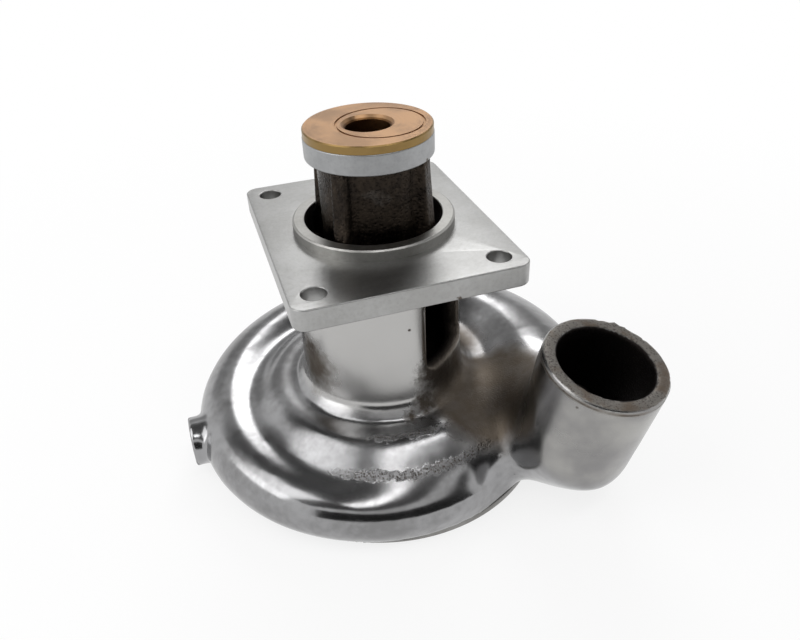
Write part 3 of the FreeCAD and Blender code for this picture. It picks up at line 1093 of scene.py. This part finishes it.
@dataclass
class BearingTower(Common):
    """Round tower with four ribs and the turned head that holds the bush, in millimetres.

    Each of the ribs' levels is a height and the reach of the ribs' outer faces there.
    """

    foot: float = 88.0
    head_radius: float = 23.0
    head_low: float = 128.1
    head_top: float = 135.5
    head_sunk: float = 1.0
    rib_count: int = 4
    rib_fillet: float = 2.2
    rib_round: float = 1.1
    rib_root: float = 4.0
    rib_levels: tuple[Span, ...] = (
        (88.0, 25.8), (99.7, 25.8), (102.1, 24.4), (103.5, 23.8), (112.7, 23.2), (126.1, 22.4),
        (129.1, 22.4))

    def tower(self) -> bpy.types.Object:
        """The rough round core."""
        return lathed("bearing_tower", ring_profile(self.tower_bore, self.tower_radius, self.foot,
                                                    self.head_low + self.head_sunk), 96)

    def rib_section(self, reach: float) -> list[Span]:
        """Level section of the rib that points along X, with its cast fillets at the root.

        Args:
            reach: Distance of the rib's outer face from the pump axis.

        Returns:
            Corners, in millimetres, in turn.
        """
        half = 0.5 * self.rib_thickness
        fillet_y = half + self.rib_fillet
        fillet_x = math.sqrt((self.tower_radius + self.rib_fillet) ** 2 - fillet_y ** 2)
        start = math.atan2(-fillet_y, -fillet_x) + 2.0 * math.pi
        side = [(self.tower_radius - self.rib_root,
                 fillet_y * self.tower_radius / (self.tower_radius + self.rib_fillet))]
        for step in range(6):
            angle = start + (1.5 * math.pi - start) * step / 5
            side.append((fillet_x + self.rib_fillet * math.cos(angle),
                         fillet_y + self.rib_fillet * math.sin(angle)))
        for step in range(5):
            angle = math.radians(90.0 - 22.5 * step)
            side.append((reach - self.rib_round * (1.0 - math.cos(angle)),
                         half - self.rib_round * (1.0 - math.sin(angle))))
        return side + [(x, -y) for x, y in reversed(side)]

    def rib(self) -> bpy.types.Mesh:
        """One rib, built up from level sections."""
        bm = bmesh.new()
        loops = [[bm.verts.new((x * MM, y * MM, z * MM)) for x, y in self.rib_section(reach)]
                 for z, reach in self.rib_levels]
        bm.faces.new(loops[0])
        bm.faces.new(loops[-1])
        for lower, upper in zip(loops, loops[1:]):
            for corner in range(len(lower)):
                after = (corner + 1) % len(lower)
                bm.faces.new((lower[corner], lower[after], upper[after], upper[corner]))
        mesh = mesh_from(bm, "tower_rib")
        mesh.shade_smooth()
        return mesh

    def ribs(self, finish: bpy.types.Material) -> bpy.types.Object:
        """The ribs that carry the tower's head down to the neck.

        Args:
            finish: Material of the ribs.

        Returns:
            All the ribs as one piece.
        """
        holder = new_piece("tower_rib", self.rib())
        spread = holder.modifiers.new("spread", "NODES")
        spread.node_group = ring_of_copies()
        set_input(spread, "Count", self.rib_count)
        set_input(spread, "First Azimuth", math.radians(self.window_azimuth))
        set_input(spread, "Finish", finish)
        graph = bpy.context.evaluated_depsgraph_get()
        mesh = bpy.data.meshes.new_from_object(holder.evaluated_get(graph))
        mesh.name = "tower_ribs"
        bpy.data.objects.remove(holder)
        return new_piece("tower_ribs", mesh)

    def head(self) -> bpy.types.Object:
        """The turned ring round the bush."""
        profile = ring_profile(self.tower_bore, self.head_radius, self.head_low, self.head_top)
        piece = lathed("tower_head", profile, 160)
        add_bevel(piece, 0.5 * MM, 3)
        return piece


# ------------------------------------------------------------------ shared effects

Given = dict[str, Signal]


@dataclass(frozen=True)
class Effect:
    """A shader node group that more than one finish uses."""

    name: str
    inputs: tuple[str, ...]
    outputs: tuple[str, ...]
    draw: Callable[[Desk, Given], tuple[Signal, ...]]

    def tree(self) -> bpy.types.NodeTree:
        """Build the group once and hand it out."""
        known = bpy.data.node_groups.get(self.name)
        if known:
            return known
        tree = bpy.data.node_groups.new(self.name, "ShaderNodeTree")
        for label in self.inputs:
            kind = "NodeSocketVector" if label == "Place" else "NodeSocketFloat"
            tree.interface.new_socket(label, in_out="INPUT", socket_type=kind)
        for label in self.outputs:
            tree.interface.new_socket(label, in_out="OUTPUT", socket_type="NodeSocketFloat")
        desk = Desk(tree)
        results = self.draw(desk, desk.given())
        desk.node("NodeGroupOutput", dict(enumerate(results)))
        return tree

    def on(self, desk: Desk, **feeds: Feed) -> list[Signal]:
        """Put the effect into a material and hand out what comes of it."""
        node = desk.node("ShaderNodeGroup", feeds, node_tree=self.tree())
        return [Signal(desk, socket) for socket in node.outputs]


def draw_worn_spot(desk: Desk, given: Given) -> tuple[Signal, ...]:
    """Ragged round patch about a place."""
    here = desk.place()
    rag = (desk.noise(here, given["Grain"], 5.0) - 0.5) * given["Raggedness"]
    away = desk.vector("DISTANCE", here, given["Place"]) + rag
    return (desk.ramp(away, given["Reach"] + given["Softness"], given["Reach"]),)


def draw_step_band(desk: Desk, given: Given) -> tuple[Signal, ...]:
    """Ragged band that follows a circle about the pump axis over a range of azimuths."""
    raggedness, core, fade = 2.2, 0.25, 0.3
    here = desk.place()
    out = desk.reach(here) - given["Radius"]
    rise = desk.part(here, "Z") - given["Height"]
    away = desk.math("SQRT", out * out + rise * rise)
    rag = (desk.noise(here, given["Grain"], 4.0) - 0.5) * (given["Width"] * raggedness)
    across = desk.ramp(away + rag, given["Width"], given["Width"] * core)
    turn = desk.math("ARCTAN2", desk.part(here, "Y"), desk.part(here, "X"))
    start = desk.ramp(turn, given["From"], given["From"] + fade)
    stop = desk.ramp(turn, given["To"], given["To"] - fade)
    return (across * (start * stop),)


def draw_cast_grain(desk: Desk, given: Given) -> tuple[Signal, ...]:
    """Sandy relief of a rough casting, in millimetres, and a mask of its pits."""
    here = desk.place()
    sand = desk.noise(here, given["Scale"], 6.0)
    cells = desk.signal("ShaderNodeTexVoronoi", {"Vector": here, "Scale": given["Scale"]}, "Distance")
    pits = desk.ramp(cells, 0.62, 0.22) * desk.ramp(sand, 0.36, 0.54)
    return (sand - pits * 0.9) * given["Depth"], pits


def draw_turned_rings(desk: Desk, given: Given) -> tuple[Signal, ...]:
    """Fine rings about the pump axis that a turning tool leaves."""
    turns = desk.reach(desk.place()) / given["Pitch"]
    ridges = desk.signal("ShaderNodeTexNoise", {"W": turns, "Scale": 1.0, "Detail": 2.0}, "Fac",
                         noise_dimensions="1D")
    return ridges * given["Depth"], ridges


def draw_cloudy_tone(desk: Desk, given: Given) -> tuple[Signal, ...]:
    """Uneven tone of handled metal, broad clouds with finer ones in them."""
    here = desk.place()
    broad = desk.noise(here, given["Scale"], 2.0)
    fine = desk.noise(here, given["Scale"] * 9.0, 4.0)
    return (desk.ramp(broad * 0.65 + fine * 0.35, 0.36, 0.64),)


def draw_hairlines(desk: Desk, given: Given) -> tuple[Signal, ...]:
    """Long fine scratches along X, from 0 to 1."""
    long = desk.vector("MULTIPLY", desk.place(), (0.03, 1.0, 1.0))
    return (desk.noise(long, given["Scale"], 5.0),)


WORN_SPOT = Effect("worn_spot", ("Place", "Reach", "Softness", "Raggedness", "Grain"), ("Mask",),
                   draw_worn_spot)
STEP_BAND = Effect("step_band", ("Radius", "Height", "Width", "From", "To", "Grain"), ("Mask",),
                   draw_step_band)
CAST_GRAIN = Effect("cast_grain", ("Scale", "Depth"), ("Relief", "Pits"), draw_cast_grain)
TURNED_RINGS = Effect("turned_rings", ("Pitch", "Depth"), ("Relief", "Tone"), draw_turned_rings)
CLOUDY_TONE = Effect("cloudy_tone", ("Scale",), ("Tone",), draw_cloudy_tone)
HAIRLINES = Effect("hairlines", ("Scale",), ("Tone",), draw_hairlines)


# ------------------------------------------------------------------ finishes

Colour = Triple
Surface = tuple[Feed, Signal, Optional[Signal]]


def blank(name: str) -> tuple[bpy.types.Material, Desk]:
    """A new material with its shader, and a desk to work on it."""
    material = bpy.data.materials.new(name)
    material.use_nodes = True
    return material, Desk(material.node_tree)


@dataclass(frozen=True)
class Patch:
    """A worn or stained patch: its middle and sizes in millimetres."""

    place: Triple
    reach: float
    softness: float
    raggedness: float
    grain: float = 300.0

    def mask(self, desk: Desk) -> Signal:
        """Mask of the patch."""
        return WORN_SPOT.on(desk, Place=tuple(c * MM for c in self.place), Reach=self.reach * MM,
                            Softness=self.softness * MM, Raggedness=self.raggedness * MM,
                            Grain=self.grain)[0]


@dataclass(frozen=True)
class PittedBand:
    """A band of casting pits that the buffing left on a step: sizes in millimetres, degrees."""

    radius: float
    height: float
    width: float
    start: float
    stop: float
    grain: float = 350.0

    def mask(self, desk: Desk) -> Signal:
        """Mask of the band."""
        return STEP_BAND.on(desk, Radius=self.radius * MM, Height=self.height * MM,
                            Width=self.width * MM, From=math.radians(self.start),
                            To=math.radians(self.stop), Grain=self.grain)[0]


@dataclass(frozen=True)
class Finish:
    """Finish of a metal; each kind says what its surface is like."""

    name: str

    def surface(self, desk: Desk) -> Surface:
        """Work out the surface in a material's tree.

        Args:
            desk: Desk of the material.

        Returns:
            Colour, roughness, and the relief in millimetres or None for a smooth surface.
        """
        raise NotImplementedError

    def make(self) -> bpy.types.Material:
        """Build the material."""
        material, desk = blank(self.name)
        colour, roughness, relief = self.surface(desk)
        shader = desk.tree.nodes["Principled BSDF"]
        shader.inputs["Metallic"].default_value = 1.0
        desk.feed(shader.inputs["Base Color"], colour)
        desk.feed(shader.inputs["Roughness"], roughness)
        if relief is not None:
            feeds = {"Height": relief, "Distance": MM, "Strength": 1.0}
            desk.feed(shader.inputs["Normal"], desk.signal("ShaderNodeBump", feeds))
        return material


@dataclass(frozen=True)
class BuffedCasting(Finish):
    """Hand-buffed aluminium casting, brown and rough where the wheel did not reach, with painted shade
    darkening its hollows.

    The spans are in millimetres: from the riser's wall or up from its mouth, from the pump
    axis, or up from the floor. The roughnesses are those of clean and of smeared metal.
    """

    name: str = "buffed_casting"
    fresh: Colour = (0.335, 0.335, 0.34)
    smoky: Colour = (0.235, 0.233, 0.235)
    neck: Colour = (0.47, 0.465, 0.455)
    satin: Colour = (0.37, 0.365, 0.35)
    satin_dark: Colour = (0.255, 0.25, 0.25)
    film: Colour = (0.115, 0.095, 0.075)
    scale_colour: Colour = (0.085, 0.072, 0.06)
    # Painted shade: the hollows' skin is darker than the cast metal itself so the insides read black,
    # darkest in the riser's bore; the window's jamb keeps a lighter copy of the same skin for its lit
    # face.
    hollow: Colour = (0.045, 0.037, 0.033)
    lit_jamb: Colour = (0.19, 0.165, 0.14)
    bore_shade: Colour = (0.018, 0.015, 0.014)
    rim: Colour = (0.235, 0.22, 0.20)
    rim_dirt: Colour = (0.08, 0.07, 0.062)
    rim_brown: Colour = (0.15, 0.115, 0.085)
    riser_out: Span = (3.5, 0.8)
    riser_foot: Span = (-46.0, -34.0)
    rim_face: Span = (-0.5, -0.15)
    rim_low: Span = (-3.2, -2.0)
    rim_high: Span = (-0.9, -1.5)
    groove: Span = (0.55, 0.12)
    groove_depth: float = 2.0
    rim_raggedness: float = 1.2
    neck_out: Span = (38.0, 33.0)
    neck_foot: Span = (34.5, 40.0)
    window_out: Span = (27.0, 30.0)
    window_foot: Span = (46.0, 49.0)
    low_part: Span = (26.0, 20.0)
    upper_roughness: Span = (0.16, 0.31)
    low_roughness: Span = (0.10, 0.21)
    satin_roughness: Span = (0.19, 0.32)
    film_roughness: float = 0.5
    cast_roughness: float = 0.55
    wave: float = 0.12
    film_grain: float = 0.22
    scale_grain: float = 0.6
    cast_grain: float = 0.5
    scroll: Scroll = field(default_factory=Scroll)
    films: tuple[Patch, ...] = (
        Patch((34.0, -32.0, 33.0), 20.0, 9.0, 8.0, 110.0),
        Patch((42.0, -40.0, 36.0), 12.0, 8.0, 7.0, 130.0),
        Patch((30.0, 6.0, 36.0), 6.0, 14.0, 12.0, 120.0),
        Patch((-31.0, -11.0, 50.0), 4.0, 11.0, 11.0, 260.0),
    )
    scales: tuple[Patch, ...] = (
        Patch((14.5, -29.5, 49.0), 4.5, 9.0, 10.0, 520.0),
        Patch((7.0, -33.5, 37.5), 1.0, 6.5, 8.0, 520.0),
        Patch((0.0, -36.5, 35.0), 0.2, 4.0, 6.0, 600.0),
        Patch((1.9, -32.1, 72.0), 0.15, 0.7, 0.6, 900.0),
        Patch((-31.0, -9.0, 58.0), 0.5, 6.0, 9.0, 520.0),
        Patch((43.1, -80.9, 62.4), 0.0, 0.9, 0.9, 900.0),
    )
    bands: tuple[PittedBand, ...] = (
        PittedBand(44.5, 33.0, 2.2, -124.0, -62.0),
        PittedBand(56.6, 25.4, 2.5, -132.0, -40.0),
    )

    def riser_masks(self, desk: Desk, here: Signal) -> tuple[Signal, Signal, Signal]:
        """Masks of the riser's satin wall, of its rough rim and of the thin line under the rim.

        Args:
            desk: Desk of the material.
            here: Object coordinates.

        Returns:
            The three masks.
        """
        scroll = self.scroll
        mouth = (scroll.turns(0.0, scroll.floor)[3] * MM).tolist()
        upward = scroll.riser_direction().tolist()
        offset = desk.vector("SUBTRACT", here, mouth)
        along = desk.vector("DOT_PRODUCT", offset, upward)
        axial = desk.signal("ShaderNodeVectorMath", {0: upward, "Scale": along}, operation="SCALE")
        reach = desk.vector("DISTANCE", offset, axial)
        wall = desk.step(reach, self.riser_out, scroll.riser_radius) * desk.step(along, self.riser_foot)
        rag = (desk.noise(here, 260.0, 4.0) - 0.5) * (self.rim_raggedness * MM)
        face = desk.step(along, self.rim_face) * wall
        below = desk.step(along + rag, self.rim_low) * desk.step(along, self.rim_high)
        rim = desk.most([face, below * wall * 0.55])
        off_groove = desk.math("ABSOLUTE", along + self.groove_depth * MM) + rag * 0.5
        broken = desk.ramp(desk.noise(here, 110.0, 4.0), 0.36, 0.52)
        return wall, rim, desk.step(off_groove, self.groove) * broken * wall

    def surface(self, desk: Desk) -> Surface:
        """Work out the surface from the masks of its zones."""
        here = desk.place()
        out, height = desk.reach(here), desk.part(here, "Z")
        neck = desk.step(out, self.neck_out) * desk.step(height, self.neck_foot)
        window = desk.step(out, self.window_out) * desk.step(height, self.window_foot)
        wall, rim, line = self.riser_masks(desk, here)
        mottle = desk.ramp(desk.noise(here, 160.0, 6.0), 0.3, 0.62)
        film = desk.most([patch.mask(desk) for patch in self.films]) * desk.blend(mottle, 0.9, 1.0)
        scale = desk.most([patch.mask(desk) for patch in self.scales] + [line])
        pitted = desk.most([band.mask(desk) for band in self.bands])
        relief, pits = CAST_GRAIN.on(desk, Scale=1250.0, Depth=0.2)
        inner = desk.signal("ShaderNodeAttribute", output="Fac", attribute_name="as_cast")
        inner = desk.ramp(inner, 0.15, 0.85)

        (tone,) = CLOUDY_TONE.on(desk, Scale=32.0)
        cloud = desk.ramp(desk.noise(here, 48.0, 4.0), 0.35, 0.68)
        brown = desk.ramp(desk.noise(here, 120.0, 5.0), 0.45, 0.7)
        colour = desk.coated(
            self.smoky, (tone, self.fresh), (neck, self.neck),
            (wall, desk.mix(cloud, self.satin_dark, self.satin)),
            (film, self.film), (scale, self.scale_colour), (pitted * pits, self.scale_colour),
            (rim * 0.9, desk.coated(self.rim, (pits, self.rim_dirt), (brown, self.rim_brown))),
            # Painted shade in the hollows, darkest in the riser's bore, with a lighter lit copy on the
            # window's jamb.
            (inner, desk.coated(self.hollow, (window, self.lit_jamb), (wall, self.bore_shade))))

        smear = desk.noise(here, 75.0, 5.0)
        roughness = desk.blend(smear, *self.upper_roughness)
        for share, other in (
                (desk.step(height, self.low_part), desk.blend(smear, *self.low_roughness)),
                (wall, desk.blend(smear, *self.satin_roughness)),
                (desk.most([film, pitted * 0.35]), self.film_roughness),
                (desk.most([scale, inner, rim]), self.cast_roughness)):
            roughness = desk.blend(share, roughness, other)

        grainy = desk.most([film * self.film_grain, pitted, scale * self.scale_grain,
                            inner * self.cast_grain, rim * self.cast_grain])
        return colour, roughness, desk.noise(here, 55.0, 1.0) * self.wave + grainy * relief


@dataclass(frozen=True)
class MachinedAluminium(Finish):
    """Turned or milled face of the casting; pitch and depth of the cut are in millimetres."""

    light: Colour = (0.43, 0.43, 0.425)
    dull: Colour = (0.35, 0.348, 0.34)
    dirt: Colour = (0.10, 0.085, 0.07)
    roughness: Span = (0.28, 0.44)
    pitch: float = 0.9
    depth: float = 0.006
    dirt_share: float = 0.07
    nicks: tuple[Patch, ...] = ()

    def surface(self, desk: Desk) -> Surface:
        """Work out the surface from the tool's rings, hairlines and specks of dirt."""
        (tone,) = CLOUDY_TONE.on(desk, Scale=55.0)
        ridges, rings = TURNED_RINGS.on(desk, Pitch=self.pitch * MM, Depth=self.depth)
        (hairs,) = HAIRLINES.on(desk, Scale=1800.0)
        sand, pits = CAST_GRAIN.on(desk, Scale=900.0, Depth=0.008)
        coats = [(tone * 0.7 + rings * 0.3, self.light), (pits * self.dirt_share, self.dirt)]
        if self.nicks:
            coats.append((desk.most([nick.mask(desk) for nick in self.nicks]), self.dirt))
        relief = ridges + sand + hairs * self.depth
        return desk.coated(self.dull, *coats), desk.blend(hairs, *self.roughness), relief


@dataclass(frozen=True)
class RoughCasting(Finish):
    """Dark brown as-cast skin, untouched by the buffing wheel."""

    name: str = "rough_casting"
    dark: Colour = (0.017, 0.014, 0.012)
    brown: Colour = (0.050, 0.039, 0.030)
    rub: Colour = (0.26, 0.24, 0.22)
    rub_share: float = 0.12
    roughness: Span = (0.26, 0.48)
    wave: float = 0.25

    def surface(self, desk: Desk) -> Surface:
        """Work out the surface from sand, waves and a few rubbed spots."""
        here = desk.place()
        (tone,) = CLOUDY_TONE.on(desk, Scale=70.0)
        relief, _ = CAST_GRAIN.on(desk, Scale=850.0, Depth=0.14)
        rubbed = desk.ramp(desk.noise(here, 130.0, 5.0), 0.62, 0.74) * self.rub_share
        colour = desk.coated(self.dark, (tone, self.brown), (rubbed, self.rub))
        relief = relief + desk.noise(here, 180.0, 2.0) * self.wave
        return colour, desk.blend(tone, *self.roughness), relief


@dataclass(frozen=True)
class TurnedBronze(Finish):
    """Turned bronze with a tarnished edge and bore; the spans are radii in millimetres."""

    name: str = "turned_bronze"
    face: Colour = (0.47, 0.285, 0.155)
    worn: Colour = (0.345, 0.20, 0.105)
    edge: Colour = (0.27, 0.178, 0.068)
    bore: Colour = (0.17, 0.085, 0.035)
    roughness: Span = (0.27, 0.41)
    edge_radii: Span = (22.2, 22.6)
    bore_radii: Span = (8.6, 8.3)

    def surface(self, desk: Desk) -> Surface:
        """Work out the surface from the tool's rings; it has no relief."""
        out = desk.reach(desk.place())
        (tone,) = CLOUDY_TONE.on(desk, Scale=90.0)
        _, rings = TURNED_RINGS.on(desk, Pitch=0.8 * MM, Depth=0.003)
        colour = desk.coated(self.worn, (tone * 0.45 + rings * 0.55, self.face),
                             (desk.step(out, self.edge_radii), self.edge),
                             (desk.step(out, self.bore_radii), self.bore))
        return colour, desk.blend(tone, *self.roughness) + rings * 0.08, None


# ------------------------------------------------------------------ studio


def sheet(name: str, middle: Triple, half_side: Triple,
          half_rise: Triple) -> tuple[bpy.types.Object, Desk]:
    """A flat sheet with a material of its own.

    Args:
        name: Name of the sheet and of its material.
        middle: Its middle.
        half_side: From the middle to one side.
        half_rise: From the middle to the upper side.

    Returns:
        The sheet and a desk to work on its material.
    """
    centre, side, rise = (np.array(v) for v in (middle, half_side, half_rise))
    corners = [centre - side - rise, centre + side - rise, centre + side + rise, centre - side + rise]
    mesh = bpy.data.meshes.new(name)
    mesh.from_pydata([corner.tolist() for corner in corners], [], [(0, 1, 2, 3)])
    material, desk = blank(name)
    mesh.materials.append(material)
    return new_piece(name, mesh), desk


@dataclass(frozen=True)
class Card:
    """A reflector card that only shows in glossy surfaces: its middle, its half sides, its light."""

    name: str
    middle: Triple
    half_side: Triple
    half_rise: Triple
    light: float

    def build(self) -> None:
        """Hang the card."""
        card, desk = sheet(self.name, self.middle, self.half_side, self.half_rise)
        desk.tree.nodes.remove(desk.tree.nodes["Principled BSDF"])
        desk.show(desk.signal("ShaderNodeEmission", {"Strength": self.light}))
        card.visible_camera = False
        card.visible_diffuse = False
        card.visible_shadow = False


@dataclass(frozen=True)
class Lamp:
    """A soft rectangular lamp: where it stands, what it points at, its sides and its watts."""

    name: str
    place: Triple
    aim: Triple
    size: Span
    power: float

    def build(self) -> None:
        """Hang the lamp."""
        data = bpy.data.lights.new(self.name, "AREA")
        data.shape = "RECTANGLE"
        data.size, data.size_y = self.size
        data.energy = self.power
        lamp = new_piece(self.name, data)
        lamp.location = self.place
        direction = Vector(self.aim) - Vector(self.place)
        lamp.rotation_euler = direction.to_track_quat("-Z", "Y").to_euler()


@dataclass(frozen=True)
class Studio:
    """Camera, floor, lamps, cards and the pale room, in metres and degrees."""

    camera_place: Triple = (-0.0625, -0.2368, 0.2209)
    heading: float = 16.629
    dip: float = 33.932
    roll: float = 2.763
    lens: float = 32.66
    floor_half: float = 3.0
    floor_colour: Triple = (0.93, 0.93, 0.93)
    floor_roughness: float = 0.7
    near_white: float = 0.8
    near_reach: float = 0.16
    far_reach: float = 0.5
    room_light: float = 0.5
    cards: tuple[Card, ...] = (
        Card("card_behind_camera", (0.0, -1.2, 0.5), (1.3, 0.0, 0.0), (0.0, 0.0, 0.42), 0.04),
        Card("card_overhead", (0.0, 0.0, 1.35), (1.6, 0.0, 0.0), (0.0, 1.2, 0.0), 0.09),
        Card("card_back", (0.5, 1.7, 1.15), (2.0, -0.5, 0.0), (0.0, 0.1, 0.65), 0.42),
    )
    lamps: tuple[Lamp, ...] = (
        Lamp("left_window", (-0.8, -0.05, 0.8), (0.0, 0.0, 0.05), (0.7, 0.9), 4.4),
        Lamp("front_strip", (0.15, -0.45, 1.1), (0.0, 0.0, 0.02), (0.9, 0.2), 2.6),
        Lamp("back_window", (0.35, 0.9, 1.0), (0.0, 0.0, 0.05), (0.7, 0.4), 4.5),
    )

    def camera(self) -> None:
        """Place the camera."""
        data = bpy.data.cameras.new("camera")
        data.lens = self.lens
        data.sensor_width = 36.0
        data.clip_start = 0.01
        camera = new_piece("camera", data)
        heading, dip, roll = (math.radians(v) for v in (self.heading, self.dip, self.roll))
        forward = Vector((math.sin(heading) * math.cos(dip), math.cos(heading) * math.cos(dip),
                          -math.sin(dip)))
        level = Vector((math.cos(heading), -math.sin(heading), 0.0))
        down = forward.cross(level)
        right = math.cos(roll) * level + math.sin(roll) * down
        up = -(math.cos(roll) * down - math.sin(roll) * level)
        turn = Matrix((right, up, -forward)).transposed().to_4x4()
        camera.matrix_world = Matrix.Translation(self.camera_place) @ turn
        bpy.context.scene.camera = camera

    def seen_directly(self, desk: Desk) -> Signal:
        """1 for rays that show the background itself, straight or in a reflection."""
        path = desk.node("ShaderNodeLightPath").outputs
        return desk.most([Signal(desk, path[f"Is {kind} Ray"])
                          for kind in ("Camera", "Glossy", "Transmission")])

    def floor(self) -> None:
        """A plain white floor that keeps the object's shadow and is even further out."""
        half = self.floor_half
        floor, desk = sheet("floor", (0.0, 0.0, 0.0), (half, 0.0, 0.0), (0.0, half, 0.0))
        shader = desk.tree.nodes["Principled BSDF"]
        desk.feed(shader.inputs["Base Color"], self.floor_colour)
        desk.feed(shader.inputs["Roughness"], self.floor_roughness)
        far = desk.ramp(desk.vector("LENGTH", desk.place()), self.near_reach, self.far_reach)
        share = self.seen_directly(desk) * desk.blend(far, self.near_white, 1.0)
        white = desk.signal("ShaderNodeEmission", {"Strength": 1.0})
        desk.show(desk.signal("ShaderNodeMixShader", {0: share, 1: shader.outputs[0], 2: white}))

    def room(self) -> None:
        """White background for camera, glossy and transmission rays, soft light for the rest."""
        world = bpy.data.worlds.new("room")
        bpy.context.scene.world = world
        world.use_nodes = True
        world.node_tree.nodes.clear()
        desk = Desk(world.node_tree)
        soft, white = (desk.signal("ShaderNodeBackground", {"Color": (1.0, 1.0, 1.0), "Strength": light})
                       for light in (self.room_light, 1.0))
        both = desk.signal("ShaderNodeMixShader", {0: self.seen_directly(desk), 1: soft, 2: white})
        desk.node("ShaderNodeOutputWorld", {"Surface": both})

    def build(self) -> None:
        """Set up everything round the object."""
        self.camera()
        self.floor()
        self.room()
        for fitting in self.cards + self.lamps:
            fitting.build()
        bpy.context.scene.view_settings.view_transform = "Standard"


# ------------------------------------------------------------------ assembly


def main() -> None:
    """Build the pieces in order and dress them."""
    logging.basicConfig(level=logging.INFO, format="%(name)s %(message)s")
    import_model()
    flange, tower, rough = AdapterFlange(), BearingTower(), RoughCasting().make()
    finishes = {
        CastBody().build(): BuffedCasting().make(),
        flange.plate(): MachinedAluminium("milled_flange", nicks=(
            Patch((14.0, -50.0, 93.2), 0.5, 0.6, 2.2, 700.0),
            Patch((40.5, -49.0, 93.0), 0.6, 0.6, 1.6, 700.0))).make(),
        flange.pilot(): MachinedAluminium("turned_pilot", light=(0.39, 0.385, 0.37),
                                          dull=(0.29, 0.285, 0.27), pitch=0.8).make(),
        # Painted shade: the cover lip is the flange's machined aluminium, given darker colours for the
        # shade it sits in below the scroll.
        CoverLip().build(): MachinedAluminium("faced_lip", light=(0.30, 0.295, 0.285),
                                              dull=(0.20, 0.195, 0.185), pitch=0.8).make(),
        tower.tower(): rough,
        tower.ribs(rough): None,
        tower.head(): MachinedAluminium(
            "turned_head", light=(0.385, 0.39, 0.395), dull=(0.31, 0.315, 0.32),
            roughness=(0.34, 0.50), nicks=(Patch((15.4, -17.1, 128.7), 0.4, 0.4, 0.8, 900.0),)).make(),
    }
    for piece, finish in finishes.items():
        if finish is not None:
            piece.data.materials.append(finish)
        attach(piece, "root")
        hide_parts(Node.CASING.value)
        LOG.info("%s: %d faces", piece.name, len(piece.data.polygons))
    bronze = TurnedBronze().make()
    for slot in bpy.data.objects[Node.BUSH.value].material_slots:
        slot.material = bronze
    Studio().build()


if __name__ == "__main__":
    main()
